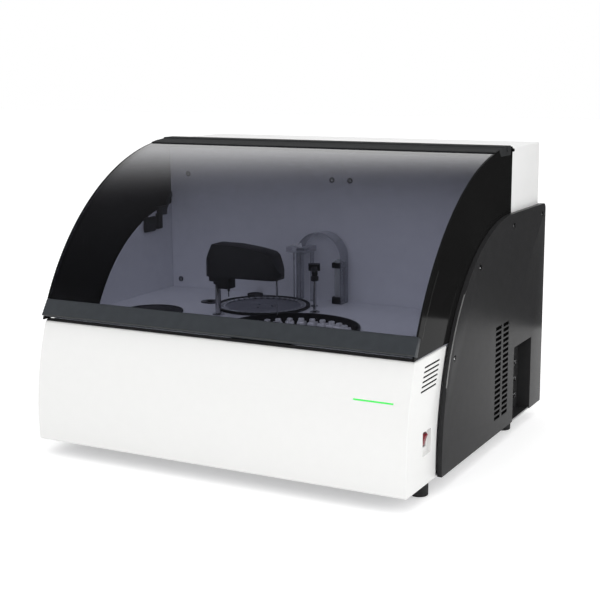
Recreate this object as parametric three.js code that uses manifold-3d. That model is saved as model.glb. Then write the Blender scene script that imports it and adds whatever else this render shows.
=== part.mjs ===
// Benchtop chemistry analyzer. A curved front cover and two side panels carry a work chamber,
// which a hinged clear lid closes. In the chamber are a reagent tray, a reaction rotor, a
// sampling probe, a stirrer, a wash head and a syringe. Lengths are in millimetres. X runs to
// the right seen from the front, Y to the rear and Z up. The origin lies on the ground, at the
// middle of the width and of the depth.
import * as THREE from "three";
import { mergeVertices } from "three/addons/utils/BufferGeometryUtils.js";
import Module from "manifold-3d";

const wasm = await Module();
wasm.setup();

// Fits and facets
const SEAT = 0.3;
const BORE = 0.3;
const OVERRUN = 10;
const ARC_STEPS = 16;
const RING_SIDES = 40;
const SHAFT_SIDES = 16;
const THIN_SIDES = 10;
const FINE_SIDES = 8;
const HEX_SIDES = 6;
const CORNER_STEPS = 6;
const PANEL_STEPS = 12;
const LEFT = -1;
const RIGHT = 1;
const QUARTER = Math.PI / 2;

// Overall box
const HALF_WIDTH = 430;
const FRONT_Y = -385;
const REAR_Y = 385;
const FOOT_HEIGHT = 31;
const FOOT_RADIUS = 18;
const FOOT_NECK_RADIUS = 15;
const FOOT_TREAD_HEIGHT = 12;
const FOOT_CHAMFER = 2;
const FOOT_INSET = 36;
const FOOT_FRONT_INSET = 123;
const FOOT_REAR_INSET = 161;

// Base plate
const PLATE = 4;

// Front cover
const COVER_INSET = 10;
const COVER_WALL = 4;
const COVER_TOP_Z = 280;
const COVER_RADIUS = 558;
const COVER_CENTRE_Z = 82;
const COVER_FLANGE = 13;
const SEAM = 5;

// Vent slots in the right cheek of the cover
const VENT_ROWS = 6;
const VENT_TOP_Z = 260;
const VENT_FRONT_Y = -304;
const VENT_LENGTH = 75;
const VENT_PITCH = 8.6;
const VENT_SLOT = 4.4;
const VENT_SLANT = 3.5;

// Green light bar in the front
const LIGHT_INSET = 33;
const LIGHT_LENGTH = 80;
const LIGHT_Z = 204;
const LIGHT_HEIGHT = 2.5;
const LIGHT_DEPTH = 8;

// Power switch in its pocket in the right cheek
const POCKET_Y = -289.5;
const POCKET_Z = 114.5;
const POCKET_WIDTH = 41;
const POCKET_HEIGHT = 47;
const POCKET_DEPTH = 9;
const POCKET_WALL = 1.5;
const SWITCH_Z = 120;
const ROCKER_WIDTH = 19;
const ROCKER_HEIGHT = 26;
const ROCKER_HIGH = 6;
const ROCKER_LOW = 1.2;
const ROCKER_SADDLE = 2.4;
const ROCKER_SWING = 4.2;
const ROCKER_BELLY_SHARE = 0.9;
const ROCKER_ROOT = 5;
const BEZEL = 2.2;
const BEZEL_PROUD = 2;
const SWITCH_DEPTH = 16;

// Side panels
const PANEL_SHEET = 1.5;
const PANEL_FLANGE = 9.6;
const PANEL_TOP_Z = 493;
const PANEL_CORNER = 14;
const PANEL_UPPER_RADIUS = 381;
const PANEL_UPPER_Y = 154.8;
const PANEL_LOWER_RADIUS = 536.8;
const PANEL_LOWER_Y = 300.2;
const PANEL_LOWER_Z = 57.2;
const PANEL_JOIN_Z = 262;
const LOUVRE_FRONT_Y = 61;
const LOUVRE_WIDTH = 83;
const LOUVRE_BAR = 12;
const LOUVRE_BOTTOM_Z = 65;
const LOUVRE_PITCH = 11.4;
const LOUVRE_SLOT = 6;
const LOUVRE_ROWS = 18;
const NOTCH_FRONT_Y = 183.4;
const NOTCH_REAR_Y = 304;
const NOTCH_TOP_Z = 198;

// Connector recess behind the notch of the right panel
const RECESS_DEPTH = 30;
const RECESS_WALL = 1.5;
const FITTING_COUNT = 4;
const FITTING_RADIUS = 5;
const FITTING_BARB = 3.4;
const FITTING_LENGTH = 9;
const FITTING_PITCH = 30;
const FITTING_FIRST_Z = 66;
const FITTING_INSET = 14;

// Side frames
const FRAME_INSET = 21;
const FRAME_SHEET = 2;
const FRAME_FRONT_Y = -330;
const TUB_INSET = 13;

// Rear housing and rear panel
const HOUSING_INSET = 11.3;
const HOUSING_FRONT_Y = 172;
const HOUSING_REAR_INSET = 23;
const HOUSING_TOP_Z = 631;
const HOUSING_WALL = 3;
const HOUSING_LIP = 22;
const REAR_SHEET = 1.5;
const GRILLE_SLOT = 6;
const GRILLE_PITCH = 12;
const GRILLE_ROWS = 9;

// Deck and back wall
const DECK_TOP_Z = 278;
const DECK_SHEET = 3;
const WALL_Y = 122;
const WALL_SHEET = 3;
const WALL_SEAM_Z = 540;
const WALL_TOP_Z = 610;
const WALL_SEAM_X = 46;
const WALL_GROOVE = 1.2;

// Lid
const LID_RADIUS = 546;
const LID_OVERLAP = 4.1;
const LID_TOP_Z = 633.7;
const LID_SHEET = 4;
const LID_BOTTOM_Z = 283.3;
const CHEEK_SHEET = 4;
const CHEEK_REAR_Y = 168;
const CHEEK_INSET = 22;
const CHEEK_HEEL_Z = 470;
const HANDLE_BOTTOM_Z = 290.5;
const HANDLE_TOP_Z = 324.8;
const HANDLE_THICK = 12;
const HANDLE_PROUD = 5.7;
const HANDLE_OVERHANG = 1;
const SEAL_DEPTH = 11;
const SEAL_HEIGHT = 4.6;
const SEAL_LIP = 1.6;
const RAIL_FRONT_Y = 86;
const RAIL_REAR_Y = 155.5;
const RAIL_TOP_Z = 636;
const RAIL_BOTTOM_Z = 616;
const RAIL_STEP_Y = 114;
const RAIL_STEP = 2.5;
const RAIL_NOSE = 9;

// Lid hinges
const HINGE_Y = 163.5;
const HINGE_Z = 626;
const HINGE_PIN_RADIUS = 3.5;
const HINGE_EAR_RADIUS = 7.4;
const HINGE_NOSE_RADIUS = 5;
const BRACKET_SHEET = 6;
const BRACKET_DROP = 14;
const LID_SENSOR_FRONT_Y = 9;
const LID_SENSOR_LENGTH = 66;
const LID_SENSOR_BOTTOM_Z = 418;
const LID_SENSOR_HEIGHT = 39;
const LID_SENSOR_DEPTH = 8;

// Reagent tray and its bowl
const TRAY_X = 83;
const TRAY_Y = -191;
const BOWL_FLANGE = 2.6;
const BOWL_RADIUS = 137.4;
const BOWL_WALL = 3;
const BOWL_RIM_Z = 284.5;
const BOWL_FLOOR_Z = 202;
const TRAY_CLEARANCE = 3.4;
const TRAY_LIFT = 6;
const TRAY_FLOOR = 3;
const TRAY_WALL_HEIGHT = 26;
const TRAY_HUB_RADIUS = 20;
const TRAY_HUB_HEIGHT = 48;
const BOTTLE_COUNT = 30;
const BOTTLE_CLEARANCE = 1.5;
const BOTTLE_DEPTH = 23;
const BOTTLE_WIDTH = 20;
const BOTTLE_INNER_WIDTH = 16;
const BOTTLE_SHOULDER_Z = 270;
const BOTTLE_NECK_RADIUS = 6;
const BOTTLE_BORE_RADIUS = 4.4;
const BOTTLE_NECK_HEIGHT = 7;
const BOTTLE_BORE_DEPTH = 40;

// Reaction rotor and its bath
const ROTOR_X = -86.4;
const ROTOR_Y = -7.6;
const BATH_FLANGE = 2.8;
const BATH_RADIUS = 101.6;
const BATH_WALL = 2.6;
const BATH_RIM_Z = 284;
const BATH_FLOOR_Z = 235;
const CUVETTE_COUNT = 40;
const CUVETTE_CLEARANCE = 3;
const CUVETTE_SIZE = 7;
const CUVETTE_BORE = 5;
const CUVETTE_HEIGHT = 34;
const CUVETTE_FLOOR = 1.5;
const CUVETTE_FIRST_ANGLE = 5;
const CUVETTE_RING_WIDTH = 12;
const CUVETTE_RING_SHEET = 3;
const CUVETTE_TOP_Z = 282;
const ROTOR_SHEET = 3;
const ROTOR_HUB_RADIUS = 16;

// Drives
const MOTOR_SIZE = 56;
const MOTOR_HEIGHT = 72;
const MOTOR_SHAFT_RADIUS = 5;

// Sampling probe
const PROBE_X = -129;
const PROBE_Y = -127;
const PROBE_REACH = 144;
const PROBE_COLUMN_RADIUS = 6.4;
const PROBE_COLUMN_FOOT_Z = 140;
const PROBE_PULLEY_RADIUS = 12;
const PROBE_CARRIAGE_Z = 150;
const CARRIAGE_HEIGHT = 35;
const CARRIAGE_WALL = 1.5;
const TOWER_OFFSET = 20.4;
const TOWER_SHEET = 5;
const PROBE_TOWER_WIDTH = 56;
const PROBE_CARRIAGE_WIDTH = 40.8;
const TOWER_FOOT_DEPTH = 34;
const ARM_WIDTH = 46;
const ARM_TAIL = 27;
const ARM_HEEL_Z = 362;
const ARM_TOP_Z = 436;
const ARM_HEIGHT = ARM_TOP_Z - ARM_HEEL_Z;
const ARM_LENGTH_SHARES = [0, 0.045, 0.095, 0.42, 0.69, 0.895, 0.945, 1, 0.945, 0.34];
const ARM_NOSE_SHARE = 0.04;
const ARM_HEIGHT_SHARES = [0.46, 0.8, 1, 0.99, 0.92, 0.82, 0.74, 0.18, ARM_NOSE_SHARE, -0.01];
const ARM_LENGTH = 189;
const ARM_HUB_DROP = 11;
const ARM_HUB_BACK = 14;
const ARM_BLOCK_LENGTH = 29;
const ARM_BLOCK_DROP = 25;
const ARM_BLOCK_WIDTH = 30;
const ARM_FLAG_RADIUS = 1.2;
const ARM_FLAG_DROP = 18;
const SLEEVE_RADIUS = 2.2;
const SLEEVE_FOOT_Z = 331;
const NEEDLE_RADIUS = 0.9;
const NEEDLE_TIP_Z = 289;

// Stirrer
const STIRRER_X = 46;
const STIRRER_Y = -15;
const STIRRER_REACH = 68;
const STIRRER_ANGLE = 118;
const STIRRER_COLUMN_RADIUS = 5;
const STIRRER_COLUMN_FOOT_Z = 150;
const STIRRER_PULLEY_RADIUS = 10;
const STIRRER_CARRIAGE_Z = 160;
const STIRRER_TOWER_WIDTH = 42;
const STIRRER_CARRIAGE_WIDTH = 31;
const STIRRER_COLLAR_RADIUS = 9;
const STIRRER_COLLAR_Z = 347;
const STIRRER_BAR_Z = 360;
const STIRRER_BAR_HEIGHT = 9;
const STIRRER_BAR_WIDTH = 13;
const STIRRER_BLOCK = 29;
const STIRRER_BLOCK_Z = 357;
const STIRRER_BLOCK_HEIGHT = 17;
const STIRRER_RIBS = 5;
const STIRRER_RIB_DEPTH = 1.6;
const STIRRER_RIB_FOOT = 1.6;
const PADDLE_SHAFT_RADIUS = 1.4;
const PADDLE_TIP_Z = 290;
const PADDLE_HEIGHT = 14;
const PADDLE_WIDTH = 6;
const PADDLE_SHEET = 1;

// Wash head, arched cover and syringe
const WASH_COLUMN_X = -20;
const WASH_COLUMN_Y = 101;
const WASH_COLUMN_RADIUS = 4;
const WASH_COLUMN_FOOT_Z = 200;
const WASH_HEAD_Z = 393;
const WASH_HEAD_HEIGHT = 12;
const WASH_HEAD_MARGIN = 8;
const WASH_BAR_WIDTH = 18;
const NOZZLE_RADIUS = 1.1;
const NOZZLE_TIP_Z = 284.5;
const NOZZLE_COUNT = 3;
const NOZZLE_SKIP_COUNT = 5;
const ARCH_LEFT_X = -52;
const ARCH_WIDTH = 114;
const ARCH_FRONT_Y = 82;
const ARCH_DEPTH = 36;
const ARCH_TOP_Z = 437;
const ARCH_WALL = 3;
const SYRINGE_X = 47.6;
const SYRINGE_Y = 98;
const SYRINGE_RADIUS = 9;
const SYRINGE_BORE_RADIUS = 7.4;
const CLAMP_WALL = 1.8;
const CLAMP_HEIGHT = 12;
const CLAMP_UPPER_Z = 359;
const CLAMP_FLOOR = 4;
const CLAMP_SPINE = 3;
const BARREL_PROUD = 5;
const PISTON_Z = 302;
const PISTON_HEIGHT = 8;
const PLUNGER_ROD_RADIUS = 2;
const PLUNGER_FOOT_Z = 212;
const PLUNGER_NUT_RADIUS = 5;
const PLUNGER_NUT_HEIGHT = 5;

// Wash wells and deck plug
const PROBE_WELL_ANGLE = 128.5;
const PROBE_WELL_RADIUS = 13;
const PROBE_WELL_BORE_RADIUS = 9;
const PROBE_WELL_RIM_RADIUS = 22;
const STIRRER_WELL_RADIUS = 6.6;
const STIRRER_WELL_BORE_RADIUS = 5.2;
const STIRRER_WELL_RIM_RADIUS = 8;
const WELL_RIM = 2;
const WELL_DEPTH = 46;
const WELL_FLOOR = 2;
const PLUG_X = -170;
const PLUG_RADIUS = 18;
const PLUG_HEIGHT = 4;
const PLUG_STEM_RADIUS = 10;
const PLUG_WALL_GAP = 1;

// Parts in the chassis
const PHOTOMETER_LENGTH = 52;
const PHOTOMETER_WIDTH = 60;
const PHOTOMETER_HEIGHT = 34;
const PHOTOMETER_REACH = 34;
const SUPPLY_INSET = 130;
const SUPPLY_REAR_GAP = 23;
const SUPPLY_WIDTH = 150;
const SUPPLY_DEPTH = 200;
const SUPPLY_HEIGHT = 64;
const SUPPLY_SLOTS = 8;
const SUPPLY_SLOT_DEPTH = 2;
const BOARD_X = 90;
const BOARD_REAR_GAP = 47;
const BOARD_WIDTH = 300;
const BOARD_DEPTH = 160;
const BOARD_SHEET = 1.6;
const BOARD_STANDOFF = 14;
const BOARD_STANDOFF_RADIUS = 4;
const BOARD_MARGIN = 9;
const CHIP_COUNT = 5;
const CHIP_SIZE = 26;
const CHIP_HEIGHT = 5;
const FAN_X = -60;
const FAN_Z = 200;
const FAN_SIZE = 120;
const FAN_DEPTH = 25;
const FAN_BORE_RADIUS = 57;
const FAN_HUB_RADIUS = 19;
const FAN_STRUT_WIDTH = 8;
const FAN_STRUT_DEPTH = 4;
const FAN_BLADES = 7;
const FAN_BLADE_SHEET = 2;
const FAN_BLADE_CHORD = 22;
const FAN_BLADE_PITCH = 35;
const FAN_TIP_GAP = 3;
const FAN_PIN_RADIUS = 3;
const INLET_INSET = 90;
const INLET_Z = 150;
const INLET_WIDTH = 48;
const INLET_HEIGHT = 28;
const INLET_FLANGE = 4;
const INLET_FLANGE_SHEET = 1.6;
const INLET_DEPTH = 30;
const INLET_WALL = 4;
const INLET_SOCKET_DEPTH = 18;
const INLET_PIN_WIDTH = 2;
const INLET_PIN_HEIGHT = 6;
const INLET_PIN_PITCH = 7;

// Levels and faces that several pieces share
const COVER_HALF_WIDTH = HALF_WIDTH - COVER_INSET;
const LID_HALF_WIDTH = COVER_HALF_WIDTH;
const HANDLE_HALF_WIDTH = LID_HALF_WIDTH + HANDLE_OVERHANG;
const HOUSING_HALF_WIDTH = HALF_WIDTH - HOUSING_INSET;
const HOUSING_REAR_Y = REAR_Y - HOUSING_REAR_INSET;
const FRAME_X = HALF_WIDTH - FRAME_INSET;
const FOOT_X = HALF_WIDTH - FOOT_INSET;
const FOOT_FRONT_Y = FRONT_Y + FOOT_FRONT_INSET;
const FOOT_REAR_Y = REAR_Y - FOOT_REAR_INSET;
const LIGHT_LEFT_X = COVER_HALF_WIDTH - LIGHT_INSET - LIGHT_LENGTH;
const SUPPLY_X = SUPPLY_INSET - HALF_WIDTH;
const SUPPLY_Y = REAR_Y - SUPPLY_REAR_GAP - SUPPLY_DEPTH / 2;
const BOARD_Y = REAR_Y - BOARD_REAR_GAP - BOARD_DEPTH / 2;
const INLET_X = INLET_INSET - HALF_WIDTH;
const PLATE_TOP_Z = FOOT_HEIGHT + PLATE;
const DECK_UNDER_Z = DECK_TOP_Z - DECK_SHEET;
const BOWL_RIM_RADIUS = BOWL_RADIUS + BOWL_FLANGE;
const BATH_RIM_RADIUS = BATH_RADIUS + BATH_FLANGE;
const COVER_ARC = { y: FRONT_Y + COVER_RADIUS, z: COVER_CENTRE_Z, r: COVER_RADIUS };
const PANEL_UPPER_ARC = {
  y: PANEL_UPPER_Y,
  z: PANEL_TOP_Z - PANEL_UPPER_RADIUS,
  r: PANEL_UPPER_RADIUS,
};
const COVER_EDGE_Y = FRONT_Y + COVER_RADIUS
  - Math.sqrt(COVER_RADIUS ** 2 - (COVER_TOP_Z - COVER_CENTRE_Z) ** 2);
const COVER_LIP_Y = COVER_EDGE_Y + COVER_FLANGE;
const LID_CENTRE_Z = LID_TOP_Z - LID_RADIUS;
const LID_CENTRE_Y = COVER_EDGE_Y - LID_OVERLAP
  + Math.sqrt(LID_RADIUS ** 2 - (HANDLE_BOTTOM_Z - LID_CENTRE_Z) ** 2);
const LID_ARC = { y: LID_CENTRE_Y, z: LID_CENTRE_Z, r: LID_RADIUS };
const PANEL_LOWER_ARC = { y: PANEL_LOWER_Y, z: PANEL_LOWER_Z, r: PANEL_LOWER_RADIUS };
const TUB_TOP_Z = PANEL_TOP_Z - TUB_INSET;
const PANEL_INNER_X = HALF_WIDTH - PANEL_SHEET;
const COVER_INNER_X = COVER_HALF_WIDTH - COVER_WALL;
const CHEEK_INNER_X = LID_HALF_WIDTH - CHEEK_SHEET;
const DECK_HALF_WIDTH = FRAME_X - SEAT;
const REAR_FACE_Y = REAR_Y - PANEL_SHEET;
const REAR_INNER_Y = REAR_FACE_Y - REAR_SHEET;
const RECESS_X = HALF_WIDTH - RECESS_DEPTH;
const TRAY_RADIUS = BOWL_RADIUS - BOWL_WALL - TRAY_CLEARANCE;
const TRAY_FLOOR_Z = BOWL_FLOOR_Z + BOWL_WALL + TRAY_LIFT;
const BOTTLE_OUTER_RADIUS = TRAY_RADIUS - TRAY_FLOOR / 2 - BOTTLE_CLEARANCE;
const CUVETTE_OUTER_RADIUS = BATH_RADIUS - BATH_WALL - CUVETTE_CLEARANCE;
const CUVETTE_RADIUS = CUVETTE_OUTER_RADIUS - CUVETTE_RING_WIDTH / 2;
const SEAL_TOP_Z = COVER_TOP_Z + SEAL_HEIGHT;
const PLUG_Y = WALL_Y - PLUG_RADIUS - PLUG_WALL_GAP;

// Finishes
const paint = (color, roughness, metalness = 0) => {
  return new THREE.MeshStandardMaterial({ color, roughness, metalness });
};
const WHITE = paint(0xf4f4f2, 0.45);
const DARK_PAINT = paint(0x454548, 0.6);
const BLACK = paint(0x141415, 0.35);
const SOFT_BLACK = paint(0x1b1b1c, 0.7);
const GREY = paint(0xb9bcc2, 0.5);
const STEEL = paint(0xb4b6ba, 0.3, 1);
const RED = paint(0xb01828, 0.35);
const GREEN = paint(0x58c060, 0.3);
const BOARD_GREEN = paint(0x1f5a34, 0.5);
const SMOKED = new THREE.MeshStandardMaterial({
  color: 0x4a4c58, roughness: 0.06, transparent: true, opacity: 0.45,
});
const CLEAR = new THREE.MeshStandardMaterial({
  color: 0xdfe4ea, roughness: 0.08, transparent: true, opacity: 0.3,
});

// Solids from three.js geometry
function solid(geometry) {
  const bare = geometry.index ? geometry.toNonIndexed() : geometry.clone();
  bare.deleteAttribute("normal");
  bare.deleteAttribute("uv");
  const merged = mergeVertices(bare);
  const index = merged.index.array;
  const kept = [];
  for (let i = 0; i < index.length; i += 3) {
    const [a, b, c] = [index[i], index[i + 1], index[i + 2]];
    if (a !== b && b !== c && c !== a) kept.push(a, b, c);
  }
  const mesh = new wasm.Mesh({
    numProp: 3,
    vertProperties: new Float32Array(merged.attributes.position.array),
    triVerts: new Uint32Array(kept),
  });
  return new wasm.Manifold(mesh);
}

function joined(solids) {
  return solids.reduce((whole, piece) => whole.add(piece));
}

function without(whole, cutters) {
  return cutters.reduce((left, cutter) => left.subtract(cutter), whole);
}

function part(name, shape, material) {
  const mesh = shape.getMesh();
  const geometry = new THREE.BufferGeometry();
  geometry.setAttribute("position", new THREE.BufferAttribute(mesh.vertProperties, 3));
  geometry.setIndex(new THREE.BufferAttribute(mesh.triVerts, 1));
  geometry.computeVertexNormals();
  const node = new THREE.Mesh(geometry, material);
  node.name = name;
  return node;
}

function placed(node, x, y, turn = 0) {
  node.position.set(x, y, 0);
  node.rotation.z = turn;
  return node;
}

function box([x0, x1], [y0, y1], [z0, z1]) {
  const geometry = new THREE.BoxGeometry(x1 - x0, y1 - y0, z1 - z0);
  return solid(geometry.translate((x0 + x1) / 2, (y0 + y1) / 2, (z0 + z1) / 2));
}

const about = (middle, width) => [middle - width / 2, middle + width / 2];
const inOrder = (a, b) => [Math.min(a, b), Math.max(a, b)];
const span = (side, inner, outer) => {
  return side === RIGHT ? [inner, outer] : [-outer, -inner];
};

function rod(x, y, radius, [z0, z1], sides = SHAFT_SIDES) {
  const geometry = new THREE.CylinderGeometry(radius, radius, z1 - z0, sides);
  return solid(geometry.rotateX(QUARTER).translate(x, y, (z0 + z1) / 2));
}

function rodX(y, z, radius, [x0, x1], sides = SHAFT_SIDES) {
  const geometry = new THREE.CylinderGeometry(radius, radius, x1 - x0, sides);
  return solid(geometry.rotateZ(QUARTER).translate((x0 + x1) / 2, y, z));
}

function rodY(x, z, radius, [y0, y1], sides = SHAFT_SIDES) {
  const geometry = new THREE.CylinderGeometry(radius, radius, y1 - y0, sides);
  return solid(geometry.translate(x, (y0 + y1) / 2, z));
}

// A closed profile of [radius, height] points, listed against the clock, turned about Z
function turned(profile, sides = RING_SIDES) {
  const points = [...profile, profile[0]].map(([r, z]) => new THREE.Vector2(r, z));
  return solid(new THREE.LatheGeometry(points, sides).rotateX(QUARTER));
}

function prism(points, depth, turnTo) {
  const shape = new THREE.Shape(points.map(([u, v]) => new THREE.Vector2(u, v)));
  const geometry = new THREE.ExtrudeGeometry(shape, { depth, bevelEnabled: false });
  return geometry.applyMatrix4(turnTo);
}

const AXIS_X = new THREE.Vector3(1, 0, 0);
const AXIS_Y = new THREE.Vector3(0, 1, 0);
const AXIS_Z = new THREE.Vector3(0, 0, 1);
const ALONG_X = new THREE.Matrix4().makeBasis(AXIS_Y, AXIS_Z, AXIS_X);
const AGAINST_Y = new THREE.Matrix4().makeBasis(AXIS_X, AXIS_Z, AXIS_Y.clone().negate());
const ALONG_Z = new THREE.Matrix4();

// Outlines of [y, z] points along X, of [x, z] points along Y and of [x, y] points along Z
const prismX = (points, [x0, x1]) => solid(prism(points, x1 - x0, ALONG_X).translate(x0, 0, 0));
const prismY = (points, [y0, y1]) => {
  return solid(prism(points, y1 - y0, AGAINST_Y).translate(0, y1, 0));
};
const prismZ = (points, [z0, z1]) => solid(prism(points, z1 - z0, ALONG_Z).translate(0, 0, z0));

// Arcs seen from the side: the angle is 0 at the front of the circle and a quarter at its top
const angleAtZ = (arc, z, shift = 0) => Math.asin((z - arc.z) / (arc.r + shift));
const angleAtY = (arc, y, shift = 0) => Math.acos((arc.y - y) / (arc.r + shift));

function arcPoint(arc, shift, angle) {
  const radius = arc.r + shift;
  return [arc.y - radius * Math.cos(angle), arc.z + radius * Math.sin(angle)];
}

function arcPoints(arc, shift, from, to, steps = ARC_STEPS) {
  const points = [];
  for (let i = 0; i <= steps; i += 1) {
    points.push(arcPoint(arc, shift, from + ((to - from) * i) / steps));
  }
  return points;
}

function arcBand(arc, outer, inner, from, to, steps = ARC_STEPS) {
  return [...arcPoints(arc, outer, from, to, steps), ...arcPoints(arc, inner, to, from, steps)];
}

// Feet and base plate
const FOOT_PLACES = {
  foot_front_left: [-FOOT_X, FOOT_FRONT_Y],
  foot_front_right: [FOOT_X, FOOT_FRONT_Y],
  foot_rear_left: [-FOOT_X, FOOT_REAR_Y],
  foot_rear_right: [FOOT_X, FOOT_REAR_Y],
};

function foot(name, [x, y]) {
  const shape = turned([
    [0, 0],
    [FOOT_RADIUS - FOOT_CHAMFER, 0],
    [FOOT_RADIUS, FOOT_CHAMFER],
    [FOOT_RADIUS, FOOT_TREAD_HEIGHT],
    [FOOT_NECK_RADIUS, FOOT_TREAD_HEIGHT + FOOT_CHAMFER],
    [FOOT_NECK_RADIUS, FOOT_HEIGHT],
    [0, FOOT_HEIGHT],
  ], SHAFT_SIDES);
  return placed(part(name, shape, SOFT_BLACK), x, y);
}

function basePlate() {
  const frontY = arcPoint(COVER_ARC, -COVER_WALL, angleAtZ(COVER_ARC, FOOT_HEIGHT, -COVER_WALL))[0];
  const seamY = arcPoint(PANEL_LOWER_ARC, -PANEL_SHEET, angleAtZ(PANEL_LOWER_ARC, PLATE_TOP_Z))[0];
  const front = [frontY + SEAT, seamY + SEAM];
  const rear = [seamY + SEAM, REAR_FACE_Y - SEAT];
  const levels = [FOOT_HEIGHT, PLATE_TOP_Z];
  const narrow = COVER_INNER_X - SEAT;
  const wide = PANEL_INNER_X - SEAT;
  const shape = joined([
    box([-narrow, narrow], [front[0], front[1] + SEAM], levels),
    box([-wide, wide], rear, levels),
  ]);
  return part("base_plate", shape, WHITE);
}

// Front cover with its light bar and its switch
function seamPoints(shift) {
  const arc = PANEL_LOWER_ARC;
  const from = angleAtZ(arc, COVER_TOP_Z, shift);
  const to = angleAtZ(arc, FOOT_HEIGHT, shift);
  return arcPoints(arc, shift, from, to);
}

function coverBody() {
  const bottom = angleAtZ(COVER_ARC, FOOT_HEIGHT);
  const top = angleAtZ(COVER_ARC, COVER_TOP_Z);
  const outline = [...arcPoints(COVER_ARC, 0, bottom, top), ...seamPoints(SEAM)];
  const hollowTop = COVER_TOP_Z - COVER_WALL;
  const low = angleAtZ(COVER_ARC, FOOT_HEIGHT - OVERRUN);
  const high = angleAtZ(COVER_ARC, hollowTop, -COVER_WALL);
  const hollow = arcPoints(COVER_ARC, -COVER_WALL, low, high);
  const behind = PANEL_LOWER_ARC.y;
  hollow.push([behind, hollowTop], [behind, FOOT_HEIGHT - OVERRUN]);
  const across = [-COVER_INNER_X, COVER_INNER_X];
  return without(prismX(outline, [-COVER_HALF_WIDTH, COVER_HALF_WIDTH]), [
    prismX(hollow, across),
    box(across, [COVER_LIP_Y, behind], [hollowTop - OVERRUN, COVER_TOP_Z + OVERRUN]),
  ]);
}

function ventCutters() {
  const cutters = [];
  for (let row = 0; row < VENT_ROWS; row += 1) {
    const front = VENT_FRONT_Y - row * VENT_SLANT;
    const middle = VENT_TOP_Z - row * VENT_PITCH;
    const across = [COVER_INNER_X - OVERRUN, COVER_HALF_WIDTH + OVERRUN];
    cutters.push(box(across, [front, front + VENT_LENGTH], about(middle, VENT_SLOT)));
  }
  return cutters;
}

function lightBand(outer, inner, height) {
  const from = angleAtZ(COVER_ARC, LIGHT_Z - height / 2);
  const to = angleAtZ(COVER_ARC, LIGHT_Z + height / 2);
  return arcBand(COVER_ARC, outer, inner, from, to, 1);
}

const POCKET_FLOOR_X = COVER_HALF_WIDTH - POCKET_DEPTH;
const POCKET_BACK_X = POCKET_FLOOR_X - POCKET_WALL;
const SWITCH_WIDTH = ROCKER_WIDTH + 2 * (SEAT + BEZEL);
const SWITCH_HEIGHT = ROCKER_HEIGHT + ROCKER_SWING + 2 * BEZEL;
const SWITCH_THROAT_HEIGHT = SWITCH_HEIGHT - 2 * BEZEL;

function frontCover() {
  const wallY = about(POCKET_Y, POCKET_WIDTH + 2 * POCKET_WALL);
  const wallZ = about(POCKET_Z, POCKET_HEIGHT + 2 * POCKET_WALL);
  const pocket = box([POCKET_BACK_X, COVER_INNER_X + SEAT], wallY, wallZ);
  const hollow = [POCKET_FLOOR_X, COVER_HALF_WIDTH + OVERRUN];
  const light = lightBand(OVERRUN, -COVER_WALL - OVERRUN, LIGHT_HEIGHT + 2 * SEAT);
  const lightX = [LIGHT_LEFT_X - SEAT, LIGHT_LEFT_X + LIGHT_LENGTH + SEAT];
  const shape = without(coverBody().add(pocket), [
    box(hollow, about(POCKET_Y, POCKET_WIDTH), about(POCKET_Z, POCKET_HEIGHT)),
    box(
      [POCKET_BACK_X - OVERRUN, POCKET_FLOOR_X + OVERRUN],
      about(POCKET_Y, SWITCH_WIDTH - 2 * BEZEL + 2 * POCKET_WALL + 2 * SEAT),
      about(SWITCH_Z, SWITCH_THROAT_HEIGHT + 2 * POCKET_WALL + 2 * SEAT),
    ),
    prismX(light, lightX),
    ...ventCutters(),
  ]);
  return part("front_cover", shape, WHITE);
}

function lightBar() {
  const band = lightBand(0, -LIGHT_DEPTH, LIGHT_HEIGHT);
  return part("light_bar", prismX(band, [LIGHT_LEFT_X, LIGHT_LEFT_X + LIGHT_LENGTH]), GREEN);
}

function switchHousing() {
  const throatY = SWITCH_WIDTH - 2 * BEZEL;
  const bezel = box(
    [POCKET_FLOOR_X, POCKET_FLOOR_X + BEZEL_PROUD],
    about(POCKET_Y, SWITCH_WIDTH),
    about(SWITCH_Z, SWITCH_HEIGHT),
  );
  const body = box(
    [POCKET_FLOOR_X - SWITCH_DEPTH, POCKET_FLOOR_X],
    about(POCKET_Y, throatY + 2 * POCKET_WALL),
    about(SWITCH_Z, SWITCH_THROAT_HEIGHT + 2 * POCKET_WALL),
  );
  const throat = box(
    [POCKET_FLOOR_X - SWITCH_DEPTH + POCKET_WALL, POCKET_FLOOR_X + OVERRUN],
    about(POCKET_Y, throatY),
    about(SWITCH_Z, SWITCH_THROAT_HEIGHT),
  );
  return part("switch_housing", bezel.add(body).subtract(throat), SOFT_BLACK);
}

function powerRocker() {
  const half = ROCKER_HEIGHT / 2;
  const outline = [
    [ROCKER_HIGH, half],
    [ROCKER_SADDLE, 0],
    [ROCKER_LOW, -half],
    [-ROCKER_ROOT / 2, -half * ROCKER_BELLY_SHARE],
    [-ROCKER_ROOT, 0],
    [-ROCKER_ROOT / 2, half * ROCKER_BELLY_SHARE],
  ];
  const shape = prismY(outline, about(POCKET_Y, ROCKER_WIDTH));
  const node = part("power_rocker", shape, RED);
  node.position.set(POCKET_FLOOR_X + BEZEL_PROUD, 0, SWITCH_Z);
  return node;
}

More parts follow.
